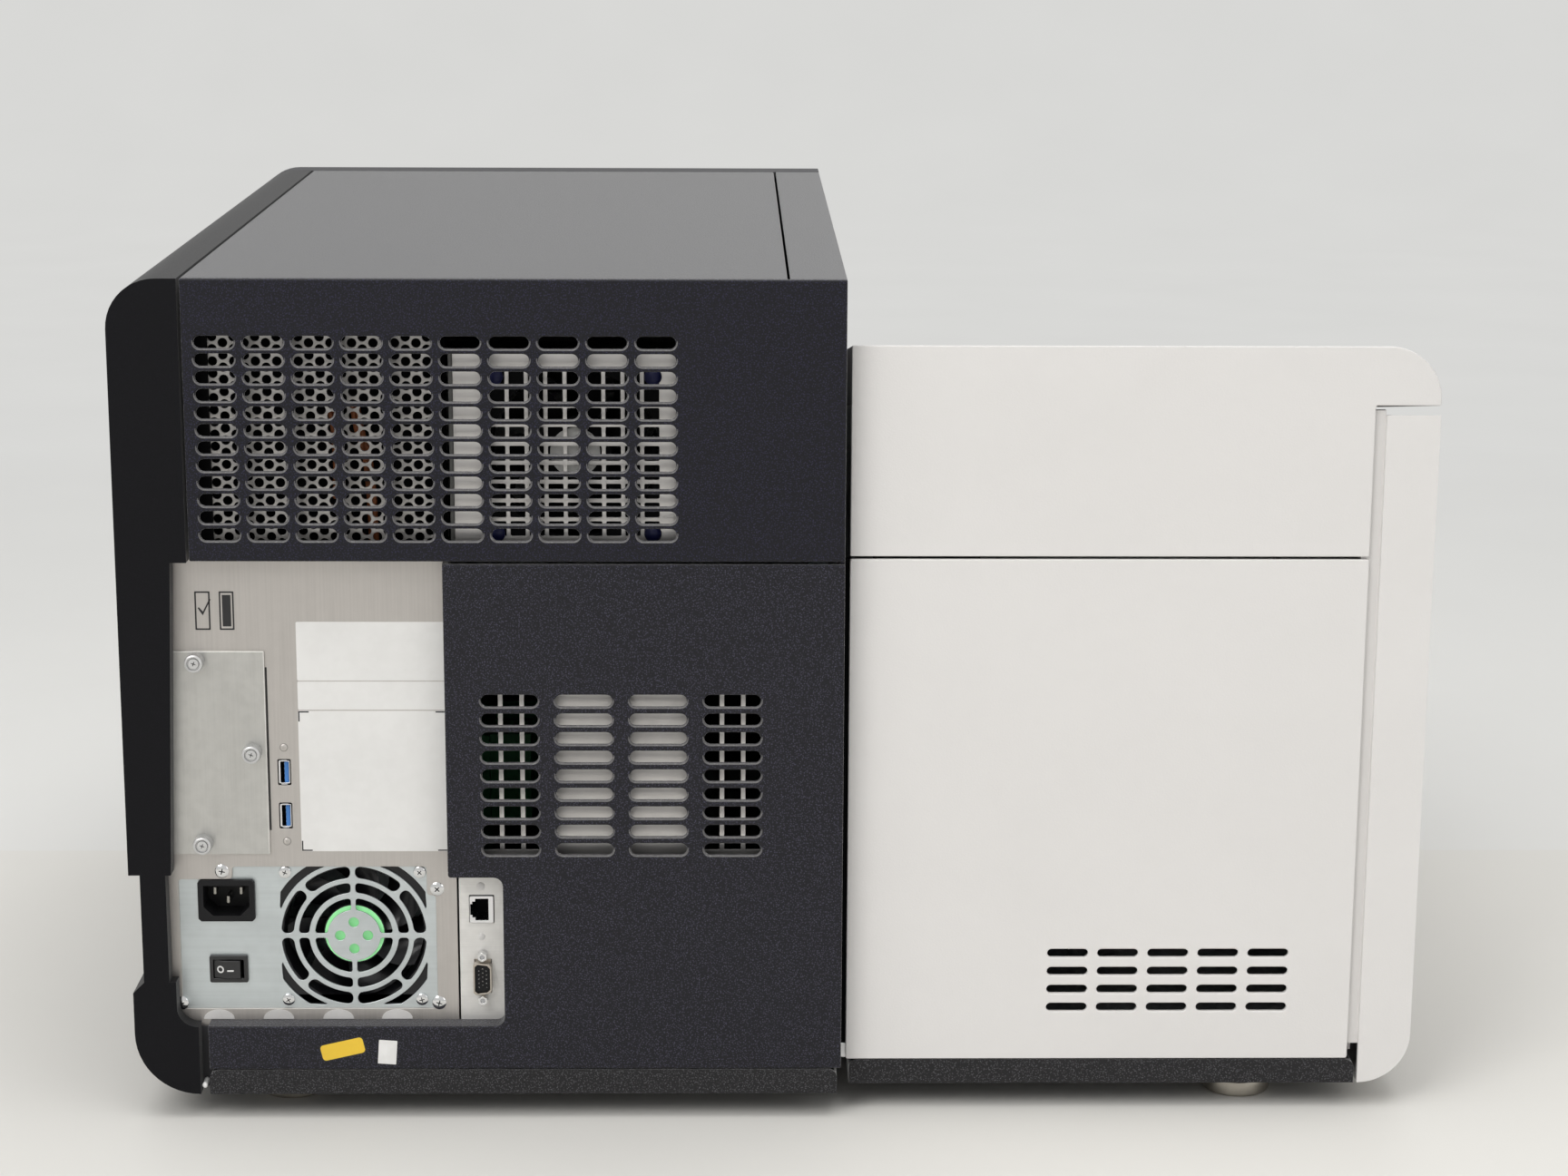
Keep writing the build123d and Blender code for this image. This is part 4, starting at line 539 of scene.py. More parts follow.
def wire_brushed(g: Graph, source: Sockets, sink: Sockets) -> None:
    """Wires rolling or brushing lines of bare sheet, along X or Z.

    Args:
        g: Graph of the group.
        source: Lines to the metre, and 1 for lines that stand upright.
        sink: Lines (0 to 1) and Stain (slow cloudy mask).
    """
    place = g.place()
    split = g.add("ShaderNodeSeparateXYZ", {"Vector": place}).outputs
    lines, upright = source["Lines per m"], source["Upright"]
    along, flat = g.math("MULTIPLY", lines, 0.015), g.math("SUBTRACT", 1.0, upright)
    x_scale = g.math("ADD", g.math("MULTIPLY", along, flat), g.math("MULTIPLY", lines, upright))
    z_scale = g.math("ADD", g.math("MULTIPLY", lines, flat), g.math("MULTIPLY", along, upright))
    stretched = g.add("ShaderNodeCombineXYZ", {
        axis: g.math("MULTIPLY", split[axis], scale)
        for axis, scale in (("X", x_scale), ("Y", lines), ("Z", z_scale))})
    streaks = g.noise(stretched.outputs[0], 1.0, 3.0, 0.65)
    g.tree.links.new(g.span(streaks, 0.3, 0.7, 0.0, 1.0), sink["Lines"])
    g.tree.links.new(g.span(g.noise(place, 22.0, 6.0), 0.38, 0.66, 0.0, 1.0), sink["Stain"])


def wire_dust(g: Graph, source: Sockets, sink: Sockets) -> None:
    """Wires a mask of settled dust on faces that look up.

    Args:
        g: Graph of the group.
        source: Amount of dust.
        sink: Mask.
    """
    place = g.place()
    normal = g.add("ShaderNodeNewGeometry").outputs["Normal"]
    up = g.span(g.add("ShaderNodeSeparateXYZ", {"Vector": normal}).outputs["Z"], 0.25, 0.95, 0.0, 1.0)
    fine, broad = g.noise(place, 260.0, 5.0, 0.7), g.noise(place, 14.0, 3.0)
    mottled = g.math("MULTIPLY", g.span(fine, 0.45, 0.7, 0.1, 1.0), g.span(broad, 0.3, 0.7, 0.4, 1.0))
    settled = g.math("MULTIPLY", up, mottled)
    g.tree.links.new(g.math("MULTIPLY", settled, source["Amount"], clamp=True), sink["Mask"])


STIPPLE = Effect("stipple", wire_stipple, {"Grains per m": 1400.0, "Drift per m": 9.0},
                 ("Height", "Speck", "Drift"))
EDGE_WEAR = Effect("edge_wear", wire_edge_wear, {"Amount": 0.5}, ("Mask",))
BRUSHED = Effect("brushed", wire_brushed, {"Lines per m": 900.0, "Upright": 0.0}, ("Lines", "Stain"))
DUST = Effect("dust", wire_dust, {"Amount": 0.3}, ("Mask",))


# ---- Finishes ----
def rgba(colour: Colour, scale: float = 1.0) -> Tuple[float, float, float, float]:
    """Colour with full alpha, scaled."""
    return (*[min(1.0, c * scale) for c in colour], 1.0)


@dataclass(frozen=True)
class Finish:
    """Shared part of every finish: a Principled shader in a material of its own.

    Attributes:
        name: Name of the material.
        colour: Main colour, linear.
        rough: Roughness at the middle.
    """

    name: str
    colour: Colour
    rough: float = 0.5

    def build(self) -> bpy.types.Material:
        """Builds the material once and hands back the same one later."""
        ready = bpy.data.materials.get(self.name)
        if ready:
            return ready
        made = bpy.data.materials.new(self.name)
        made.use_nodes = True
        made.node_tree.nodes.clear()
        g = Graph(made.node_tree)
        shader = g.add("ShaderNodeBsdfPrincipled")
        g.add("ShaderNodeOutputMaterial", {"Surface": shader.outputs[0]})
        self.dress(g, shader)
        made.diffuse_color = rgba(self.colour)
        return made

    def dress(self, g: Graph, shader: Node) -> None:
        """Fills the shader's sockets; each kind of finish has its own."""
        raise NotImplementedError

    def shades(self, g: Graph, mask: Output, low: float, high: float) -> Output:
        """Runs the main colour from one brightness to another along a mask."""
        return g.mix(mask, rgba(self.colour, low), rgba(self.colour, high))


@dataclass(frozen=True)
class Coat(Finish):
    """Powder coat or grained plastic.

    Attributes:
        grains: Grains to the metre.
        bump: Depth of the grain in millimetres.
        fleck: How much lighter the tips of the grain are.
        drift: How much the colour drifts over the surface.
        wear: Strength of the rubbed edges.
        worn: Colour of rubbed edges.
        dust: Strength of the dust.
        dusty: Colour of the dust.
        specular: Specular level.
        sheen: Weight of the pale sheen at a flat angle.
    """

    grains: float = 1300.0
    bump: float = 0.05
    fleck: float = 0.3
    drift: float = 0.12
    wear: float = 0.0
    worn: Colour = (0.2, 0.2, 0.2)
    dust: float = 0.15
    dusty: Colour = (0.35, 0.33, 0.3)
    specular: float = 0.5
    sheen: float = 0.0

    def dress(self, g: Graph, shader: Node) -> None:
        """Wires grain, drift, rubbed edges and dust."""
        grain = STIPPLE.use(g, {"Grains per m": self.grains})
        worn = EDGE_WEAR.use(g, {"Amount": self.wear})["Mask"]
        dust = DUST.use(g, {"Amount": self.dust})["Mask"]
        even = self.shades(g, grain["Drift"], 1 - self.drift, 1 + self.drift)
        base = g.mix(self.fleck, even, self.shades(g, grain["Speck"], 0.2, 3.0))
        base = g.mix(dust, g.mix(worn, base, rgba(self.worn)), rgba(self.dusty))
        rough = g.span(grain["Speck"], 0.0, 1.0, self.rough + 0.04, self.rough - 0.04)
        g.fill(shader, {"Base Color": base,
                        "Roughness": g.math("SUBTRACT", rough, g.math("MULTIPLY", worn, 0.12)),
                        "Specular IOR Level": self.specular, "Sheen Weight": self.sheen,
                        "Sheen Roughness": 0.35})
        g.relief(shader, grain["Height"], self.bump)


@dataclass(frozen=True)
class Sheet(Finish):
    """Bare or plated metal sheet with rolling lines and stains.

    Attributes:
        lines: Lines to the metre.
        upright: Whether the lines run up the sheet.
        stain: Strength of the cloudy stains.
        metal: Metallic value.
        bump: Depth of the lines in millimetres.
        wear: Strength of the bright edges.
    """

    lines: float = 900.0
    upright: bool = False
    stain: float = 0.1
    metal: float = 1.0
    bump: float = 0.01
    wear: float = 0.4

    def dress(self, g: Graph, shader: Node) -> None:
        """Wires lines, stains and bright edges."""
        brushed = BRUSHED.use(g, {"Lines per m": self.lines, "Upright": float(self.upright)})
        lines, stain = brushed["Lines"], brushed["Stain"]
        worn = EDGE_WEAR.use(g, {"Amount": self.wear})["Mask"]
        stained = g.mix(g.math("MULTIPLY", stain, self.stain), self.shades(g, lines, 0.94, 1.05),
                        rgba(self.colour, 0.62))
        rough = g.span(lines, 0.0, 1.0, self.rough - 0.06, self.rough + 0.05)
        g.fill(shader, {"Base Color": g.mix(worn, stained, rgba(self.colour, 1.25)), "Metallic": self.metal,
                        "Roughness": g.math("ADD", rough, g.math("MULTIPLY", stain, 0.05))})
        g.relief(shader, lines, self.bump)


@dataclass(frozen=True)
class Gloss(Finish):
    """Smooth moulded plastic, glass or printed film under a clear coat.

    Attributes:
        coat: Weight of the clear coat.
        smear: How far fingerprints and wipe marks change the gloss.
        shade: How much the colour drifts.
        glow: Strength of the emission: a painted glow that makes the part look lit, though it is no lamp.
        specular: Specular level.
        wear: Strength of the rubbed edges.
        ripple: Depth of the moulded ripple in millimetres.
    """

    coat: float = 0.3
    smear: float = 0.12
    shade: float = 0.1
    glow: float = 0.0
    specular: float = 0.5
    wear: float = 0.3
    ripple: float = 0.01

    def dress(self, g: Graph, shader: Node) -> None:
        """Wires wipe marks, colour drift and a faint ripple."""
        grain = STIPPLE.use(g, {"Grains per m": 420.0, "Drift per m": 26.0})
        worn = EDGE_WEAR.use(g, {"Amount": self.wear})["Mask"]
        base = g.mix(worn, self.shades(g, grain["Drift"], 1 - self.shade, 1 + self.shade),
                     rgba(self.colour, 1.5))
        rough = g.span(grain["Drift"], 0.0, 1.0, self.rough, self.rough + self.smear)
        g.fill(shader, {"Base Color": base, "Roughness": rough, "Coat Weight": self.coat,
                        "Coat Roughness": 0.08, "Specular IOR Level": self.specular})
        # Emission is painted light: it makes the part look lit, though it is no lamp.
        if self.glow > 0:
            g.fill(shader, {"Emission Color": base, "Emission Strength": self.glow})
        if self.ripple > 0:
            g.relief(shader, grain["Height"], self.ripple, 0.6)


@dataclass(frozen=True)
class Frosted(Finish):
    """Translucent plastic of bottles and light pipes.

    Attributes:
        clear: Transmission weight.
    """

    clear: float = 0.6

    def dress(self, g: Graph, shader: Node) -> None:
        """Wires cloudy colour and haze."""
        grain = STIPPLE.use(g, {"Grains per m": 700.0})
        rough = g.span(grain["Drift"], 0.0, 1.0, self.rough, self.rough + 0.15)
        g.fill(shader, {"Base Color": self.shades(g, grain["Drift"], 0.9, 1.06), "Roughness": rough,
                        "Transmission Weight": self.clear, "IOR": 1.49})
        g.relief(shader, grain["Height"], 0.02, 0.6)


@dataclass(frozen=True)
class Board(Finish):
    """Circuit board lacquer with faint copper tracks.

    Attributes:
        track: Colour of the tracks under the lacquer.
    """

    track: Colour = (0.03, 0.2, 0.07)

    def dress(self, g: Graph, shader: Node) -> None:
        """Wires square tracks into the lacquer."""
        tracks = g.add("ShaderNodeTexBrick", {
            "Vector": g.place(), "Scale": 60.0, "Mortar Size": 0.06, "Color1": rgba(self.colour),
            "Color2": rgba(self.colour, 1.2), "Mortar": rgba(self.track)}, offset=0.37).outputs
        cloudy = g.math("MULTIPLY", STIPPLE.use(g, {})["Drift"], 0.3)
        g.fill(shader, {"Base Color": g.mix(cloudy, tracks["Color"], rgba(self.colour, 0.7)),
                        "Roughness": g.span(tracks["Fac"], 0.0, 1.0, self.rough, self.rough + 0.12)})
        g.relief(shader, tracks["Fac"], 0.03, 0.8)


BLACK_COAT = Coat("black_powder_coat", (0.0080, 0.0078, 0.0190), 0.5, grains=1050, bump=0.16, fleck=0.85,
                  drift=0.0, dust=0.05, dusty=(0.13, 0.13, 0.13), specular=0.28, sheen=0.69)
# Lighter copy of the black coat for the lower rear cover: painted light, standing for light bounced up from
# the bench.
BOUNCE_LIT_LOWER_COAT = replace(BLACK_COAT, name="black_powder_coat_lower_painted_bounce_light", colour=(0.0205, 0.0200, 0.0315))
TRAY_COAT = replace(BLACK_COAT, name="black_tray_coat", colour=(0.034, 0.0332, 0.037))
# Much lighter black for the slot lips that face up or sideways: a painted highlight where the lips catch
# light from above.
SLOT_LIP_HIGHLIGHT_COAT = Coat("slot_lip_painted_highlight", (0.115, 0.112, 0.115), 0.4, grains=700, fleck=0.2, drift=0.02, wear=0.3,
                dust=0.0, sheen=0.3)
SIDE_COAT = Coat("black_side_coat", (0.0026, 0.0026, 0.0042), 0.48, grains=1100, bump=0.01, fleck=0.2,
                 drift=0.0, dust=0.03, dusty=(0.12, 0.12, 0.12), specular=0.16, sheen=0.14)
WHITE_COAT = Coat("warm_white_coat", (0.748, 0.733, 0.720), 0.6, grains=1000, bump=0.03, fleck=0.0,
                  drift=0.012, dust=0.05, dusty=(0.58, 0.56, 0.53), specular=0.15)
BLACK_MOULDING = Coat("black_moulding", (0.012, 0.012, 0.014), 0.42, grains=1900, bump=0.03, dust=0.12)
DARK_PLASTIC = Coat("dark_grey_plastic", (0.045, 0.047, 0.05), 0.5, grains=1600, bump=0.03, fleck=0.25,
                    wear=0.3, worn=(0.14, 0.14, 0.14), dust=0.1)
LINER = Coat("pale_grey_liner", (0.52, 0.53, 0.53), 0.48, bump=0.02, fleck=0.06, drift=0.04, wear=0.2,
             worn=(0.6, 0.6, 0.6), dust=0.1)
CASTING = Coat("drive_casting_grey", (0.24, 0.245, 0.25), 0.5, grains=900, bump=0.06, fleck=0.2, drift=0.1,
               wear=0.5, worn=(0.5, 0.5, 0.5))
BARE_ALUMINIUM = Sheet("bare_aluminium", (0.72, 0.72, 0.72), 0.36, lines=1200, stain=0.12)
# Cut edge of the access plate: partly the real bare metal edge, partly a painted highlight, as only edges
# facing up or sideways take it.
PLATE_EDGE_HIGHLIGHT = Sheet("access_plate_cut_edge_and_highlight", (0.80, 0.79, 0.76), 0.4, lines=1500, upright=True, metal=0.6)
PLATE_METAL = Sheet("access_plate_aluminium", (0.50, 0.495, 0.475), 0.38, lines=1500, upright=True,
                    stain=0.16, metal=0.9, bump=0.006)
FOOT_STEEL = Sheet("foot_turned_steel", (0.42, 0.39, 0.34), 0.36, lines=1600, stain=0.2, bump=0.015)
INPUT_METAL = Sheet("input_panel_satin_steel", (0.50, 0.475, 0.452), 0.42, upright=True, stain=0.06,
                    metal=0.85, bump=0.004)
STRIP_METAL = Sheet("port_strip_steel", (0.70, 0.69, 0.67), 0.45, lines=800, stain=0.06, metal=0.55)
ZINC = Sheet("zinc_plated_steel", (0.70, 0.68, 0.665), 0.36, lines=500, stain=0.25, metal=0.9, wear=0.6)
SHIELD_METAL = replace(ZINC, name="shield_zinc_steel", colour=(0.50, 0.485, 0.47), rough=0.38)
PSU_STEEL = Sheet("supply_zinc_steel", (0.56, 0.60, 0.61), 0.38, lines=420, stain=0.2, metal=0.9, wear=0.6,
                  bump=0.008)
# Dark grey for the fold of the zinc fan plate: the plate's own metal with painted shade.
FOLD_SHADE_SHEET = Sheet("fold_painted_shade_sheet", (0.16, 0.16, 0.155), 0.5, lines=400, stain=0.3, metal=0.75)
THUMB_STEEL = Sheet("thumb_screw_steel", (0.27, 0.25, 0.215), 0.42, lines=2200, wear=0.7)
SCREW_STEEL = Sheet("screw_steel", (0.30, 0.28, 0.24), 0.44, lines=2600, stain=0.15, wear=0.8)
CONNECTOR_SHELL = Sheet("connector_shell", (0.58, 0.56, 0.53), 0.27, lines=1500, stain=0.15, wear=0.7)
VIDEO_SHELL = Sheet("video_shell_nickel", (0.46, 0.42, 0.37), 0.3, lines=1500, stain=0.2, wear=0.7)
RIVET_METAL = Sheet("rivet_dull_steel", (0.30, 0.29, 0.275), 0.45, lines=1500, stain=0.2, metal=0.8)
PIN_DULL = Sheet("inlet_blade_metal", (0.34, 0.33, 0.30), 0.3, lines=1500)
CONTACT = Sheet("contact_metal", (0.80, 0.66, 0.38), 0.25, lines=2600)
CONNECTOR_PLASTIC = Gloss("connector_black", (0.0055, 0.0055, 0.0065), 0.42, coat=0.0, specular=0.25)
FAN_PLASTIC = Gloss("fan_black_gloss", (0.006, 0.006, 0.0075), 0.3, coat=0.15, specular=0.3)
# Matt black of the rear fan and dark inner parts; also used for strips of painted shadow at the shield's side
# and in the section seam.
MATT_BLACK_AND_SHADE = Gloss("matt_black_and_painted_shade", (0.003, 0.003, 0.0035), 0.55, coat=0.0, specular=0.06)
ROCKER_BLACK = Gloss("rocker_black", (0.011, 0.011, 0.012), 0.35, coat=0.1)
SCREEN_GLASS = Gloss("screen_glass", (0.0045, 0.0045, 0.0055), 0.12, coat=0.0, smear=0.03, shade=0.08,
                     ripple=0.0)
DISPLAY = Gloss("display_module", (0.03, 0.033, 0.04), 0.35, coat=0.1, wear=0.0)
TONGUE_BLUE = Gloss("socket_tongue_blue", (0.045, 0.19, 0.52), 0.42, coat=0.05)
FASTENER_BLUE = Gloss("fastener_dark_blue", (0.006, 0.008, 0.05), 0.4, coat=0.05, specular=0.3)
# Green hub label with a painted glow, so that it looks bright behind the grille.
HUB_GREEN = Gloss("hub_label_green", (0.33, 0.86, 0.38), 0.42, coat=0.1, shade=0.05, glow=0.26)
HUB_GREY = Gloss("hub_label_grey", (0.50, 0.50, 0.49), 0.45, coat=0.1, shade=0.05)
PALE_TAB = Gloss("ledge_tab_film", (0.62, 0.61, 0.60), 0.4, coat=0.1)
LABEL_WHITE = Gloss("blank_label", (0.74, 0.735, 0.72), 0.48, coat=0.05, shade=0.02)
STICKER_YELLOW = Gloss("blank_sticker_yellow", (0.80, 0.52, 0.035), 0.45, coat=0.1, shade=0.04)
# Black of the printed marks and sticker border; also used for painted shade: the cross recesses of screws and
# the bar beside the access plate.
PRINT_AND_SHADE_BLACK = Gloss("printed_marks_and_painted_shade", (0.012, 0.012, 0.013), 0.5, coat=0.0)
MARK_WHITE = Gloss("switch_marks", (0.72, 0.72, 0.71), 0.5, coat=0.0, shade=0.02)
# Amber of the looms behind the shield, darkened with painted shade.
SHADED_LOOM_ORANGE = Gloss("inner_cable_amber_painted_shade", (0.30, 0.10, 0.035), 0.5, coat=0.0)
BOTTLE = Frosted("bottle_plastic", (0.82, 0.84, 0.84), 0.3, clear=0.45)
LIGHT_PIPE = Frosted("status_light_pipe", (0.62, 0.76, 0.82), 0.25, clear=0.5)
BOARD_GREEN = Board("board_lacquer", (0.012, 0.10, 0.035), 0.35)

SLOT_FINISH: Dict[str, Finish] = {
    "black_coat": BLACK_COAT, "white_coat": WHITE_COAT, "black_moulding": BLACK_MOULDING,
    "bare_aluminium": BARE_ALUMINIUM, "foot_steel": FOOT_STEEL, "input_panel_metal": INPUT_METAL,
    "thumb_screw_steel": THUMB_STEEL, "zinc_steel": ZINC, "psu_steel": PSU_STEEL, "screw_steel": SCREW_STEEL,
    "connector_shell": CONNECTOR_SHELL, "connector_plastic": CONNECTOR_PLASTIC, "contact_metal": CONTACT,
    "fan_plastic": FAN_PLASTIC, "screen_glass": SCREEN_GLASS, "display_panel": DISPLAY,
    "light_bar": LIGHT_PIPE,
    "circuit_board": BOARD_GREEN, "drive_casting": CASTING, "liner_plastic": LINER,
    "dark_plastic": DARK_PLASTIC,
    "bottle_plastic": BOTTLE}


# ---- Dressing ----
def slot_of(node: str) -> str:
    """Name of the material slot that the record gives a node."""
    return next(part["material_slot"] for part in frame["record"]["subparts"] if part["node"] == node)


def body_of(node: str) -> str:
    """Body that a node moves with."""
    bodies = frame["record"]["behaviour"]["bodies"]
    return next((body for body, nodes in bodies.items() if node in nodes), "cabinet")


def dress(piece: Piece, finish: Finish, body: str = "cabinet",
          stands_for: Sequence[str] = ()) -> Piece:
    """Gives a piece its finish, slot and body.

    Args:
        piece: Piece to dress.
        finish: Finish of the whole piece.
        body: Body it rides on.
        stands_for: Nodes that the piece replaces.

    Returns:
        The same piece.
    """
    piece.data.materials.clear()
    piece.data.materials.append(finish.build())
    even = piece.modifiers.new("even_shading", "WEIGHTED_NORMAL")
    even.keep_sharp = True
    even.weight = 100
    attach(piece, body)
    if stands_for:
        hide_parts(*stands_for)
    LOG.info("%s: %s, %d faces, on %s", piece.name, finish.name, len(piece.data.polygons), body)
    return piece


def refine(node: str, width: float, finish: Optional[Finish] = None, segments: int = 2) -> Piece:
    """Replaces a node by a copy with rolled edges.

    Args:
        node: Node to refine.
        width: Edge radius.
        finish: Finish, when it isn't the slot's own.
        segments: Facets in each rolled edge.

    Returns:
        The dressed copy.
    """
    slot = slot_of(node)
    return dress(softened(node, width, segments), finish or SLOT_FINISH[slot], body_of(node), [node])


def rim(piece: Piece, finish: Finish, low: Point, high: Point) -> None:
    """Gives the rolled edges inside a rectangle that face up or sideways their own finish, brighter than the
    face: a painted highlight where they catch the light.

    Args:
        piece: Upright plate.
        finish: Finish of the edges, lighter as a painted highlight.
        low: Lowest X and Z of the rectangle.
        high: Highest X and Z.
    """
    piece.data.materials.append(finish.build())
    for polygon in piece.data.polygons:
        x, z = polygon.center.x / MM, polygon.center.z / MM
        inside = low[0] < x < high[0] and low[1] < z < high[1]
        if inside and 0.2 < polygon.normal.y < 0.97 and polygon.normal.z > -0.05:
            polygon.material_index = 1


# ---- Black covers ----
@dataclass(frozen=True)
class VentField:
    """Rows of slots with round ends.

    Attributes:
        centre: Middle of the field in X and Z.
        count: Columns and rows.
        pitch: Spacing of columns and of rows.
        slot: Length and height of one slot.
    """

    centre: Point
    count: Tuple[int, int]
    pitch: Point
    slot: Point

    def loops(self) -> List[Loop]:
        """Outlines of all slots."""
        (columns, rows), (half_x, half_z) = self.count, (self.slot[0] / 2, self.slot[1] / 2)
        found = []
        for i in range(columns):
            for j in range(rows):
                x = self.centre[0] + (i - (columns - 1) / 2) * self.pitch[0]
                z = self.centre[1] + (j - (rows - 1) / 2) * self.pitch[1]
                found.append(round_rect(x - half_x, x + half_x, z - half_z, z + half_z, 0.4999 * self.slot[1],
                                        6))
        return found

    def bounds(self) -> Tuple[Point, Point]:
        """Lowest and highest X and Z of the field, with a margin."""
        half_x, half_z = ((self.count[i] - 1) / 2 * self.pitch[i] + self.slot[i] / 2 + 1.5 for i in (0, 1))
        x, z = self.centre
        return (x - half_x, z - half_z), (x + half_x, z + half_z)


@dataclass
class BlackCovers:
    """Covers, bezel and tray of the computer section.

    Attributes:
        upper_vent: Slots of the upper rear cover.
        lower_vent: Slots of the lower rear cover.
        edge: Radius of the rolled edges.
        set_back: Depth of the faces behind the rear of the box.
        opening_x: Side of the input opening, above and below its step.
        opening_z: Height of the step and of the opening's floor.
        corner: Corner radius of the opening.
        step_corner: Radius of the step's upper corner.
        wall: Thickness of the return that runs in round the opening.
        tabs_x: Middle of each pale tab on the floor of the opening.
        tab_size: Width and height of a tab.
    """

    upper_vent: VentField = VentField((176.0, 370.4), (10, 12), (25.0, 9.1), (20.4, 6.5))
    lower_vent: VentField = VentField((82.6, 191.3), (4, 9), (38.9, 10.125), (29.8, 6.5))
    edge: float = 0.9
    set_back: float = 0.15
    opening_x: Point = (174.7, 145.8)
    opening_z: Point = (135.0, 52.0)
    corner: float = 5.0
    step_corner: float = 1.5
    wall: float = 3.0
    tabs_x: Tuple[float, ...] = (299.6, 267.7, 235.7, 204.2)
    tab_size: Point = (16.5, 5.4)

    def upper(self) -> None:
        """Upper rear cover."""
        box = Extent.of("rear_cover_upper")
        piece = plate("upper_rear_cover", box.outline(0.8, 2), self.upper_vent.loops(), box.y0,
                      box.y1 - self.set_back, self.edge)
        # Slot lips that face up or sideways take the painted highlight coat.
        rim(dress(piece, BLACK_COAT, stands_for=["rear_cover_upper"]), SLOT_LIP_HIGHLIGHT_COAT,
            *self.upper_vent.bounds())

    def opening(self, box: Extent, grow: float) -> Loop:
        """Edge of the input opening below its step, from the step to the side of the cover.

        Args:
            box: Box of the lower rear cover.
            grow: How far the edge lies outside the opening.

        Returns:
            The edge as an open line.
        """
        side, (step, floor), r = self.opening_x[1] - grow, self.opening_z, self.corner + grow
        step, floor = step + grow, floor - grow
        return (arc(side + r, step - r, r, 90, 180, 6) + arc(side + r, floor + r, r, 180, 270, 6)
                + [(box.x1, floor)])

    def lower(self) -> None:
        """Lower rear cover: slotted face, and the return that runs in round the input opening."""
        box = Extent.of("rear_cover_lower")
        side, step, r = self.opening_x[0], self.opening_z[0], self.step_corner
        inner = [(side, box.z1), (side, step + r)] + arc(side - r, step + r, r, 0, -90, 3)
        inner += self.opening(box, 0.0)
        outer = [(side - self.wall, box.z1), (side - self.wall, step + self.wall + 1.0)]
        outer += self.opening(box, self.wall)
        outline = [(box.x0, box.z0), (box.x1, box.z0)] + inner[::-1] + [(box.x0, box.z1)]
        face = plate("lower_rear_cover", outline, self.lower_vent.loops(), box.y1 - self.wall,
                     box.y1 - self.set_back, self.edge)
        folded = plate("lower_cover_return", inner + outer[::-1], [], box.y0, box.y1 - 2.4, 0.25)
        # The face and its return take the lighter coat: painted bounce light from the bench.
        rim(dress(face, BOUNCE_LIT_LOWER_COAT, stands_for=["rear_cover_lower"]), SLOT_LIP_HIGHLIGHT_COAT,
            *self.lower_vent.bounds())
        dress(folded, BOUNCE_LIT_LOWER_COAT)

    def trim(self) -> None:
        """Half-round pale tabs on the floor of the opening, and the pin in the foot of the side cover."""
        (width, height), foot = self.tab_size, self.opening_z[1] + 0.2
        tabs = []
        for i, x in enumerate(self.tabs_x):
            loop = [(px, foot + (pz - foot) * 2 * height / width)
                    for px, pz in arc(x, foot, width / 2, 0, 180, 16)]
            tabs.append(plate(f"ledge_tab_{i}", loop, [], 278.05, 278.35, 0.08))
        dress(joined("ledge_tabs", tabs), PALE_TAB)
        pin = lathe("side_cover_pin", [(0, 0), (1.5, 0), (1.5, 8.6), (1.1, 9.2), (0, 9.4)],
                    (306.9, 279.6, 18.4), 20)
        dress(pin, LABEL_WHITE)
        backing = slab("groove_backing", (299.0, 278.95, 15.0), (313.0, 280.0, 48.8), 0.2)
        dress(backing, BLACK_MOULDING)

    def build(self) -> None:
        """Builds every black cover."""
        self.upper()
        self.lower()
        self.trim()
        refine("black_side_cover", 0.8, SIDE_COAT)
        refine("top_cover", 0.7)
        refine("divider_panel", 0.5)
        refine("base_tray_black", 0.5, TRAY_COAT)
        refine("front_bezel", 0.4, segments=1)
        refine("vent_baffle", 0.2)


# ---- Input panel ----
def cross_recess(name: str, centre: Point, y: float, reach: float, turn: float) -> Piece:
    """Four-winged driver recess, drawn as a flat dark cross: painted shade of the recess.

    Args:
        name: Name of the piece.
        centre: Centre in X and Z.
        y: Face that it lies in.
        reach: Length of a wing from the centre.
        turn: Turn about the screw's axis, in degrees.

    Returns:
        The linked piece.
    """
    half = reach * 0.2
    wing = [(half, -half), (reach, -half * 0.75), (reach, half * 0.75)]
    loop = [corner for quarter in range(4) for corner in turned(wing, centre, 90 * quarter + turn)]
    return plate(name, loop, [], y - 0.4, y + 0.03, 0.02)


def knurled(name: str, centre: Point, base: float, rings: Sequence[Point], r: float) -> Piece:
    """Turned head with a knurled rim, along +Y.

    Args:
        name: Name of the piece.
        centre: Axis in X and Z.
        base: Y of the lowest ring.
        rings: Share of the radius and height of each ring; the full ones are knurled.
        r: Radius.

    Returns:
        The linked piece.
    """
    sides = 88
    bm = bmesh.new()
    rows = []
    for share, height in rings:
        row = []
        for k in range(sides):
            t, reach = math.pi * k / (sides / 2), r * share * (0.94 if k % 2 and share > 0.98 else 1.0)
            row.append(bm.verts.new(((centre[0] + reach * math.cos(t)) * MM, (base + height) * MM,
                                     (centre[1] + reach * math.sin(t)) * MM)))
        rows.append(row)
    for low, high in zip(rows, rows[1:]):
        for k in range(sides):
            n = (k + 1) % sides
            bm.faces.new([low[k], low[n], high[n], high[k]])
    bm.faces.new(rows[0])
    bm.faces.new(rows[-1])
    return from_bm(name, bm, 28.0)


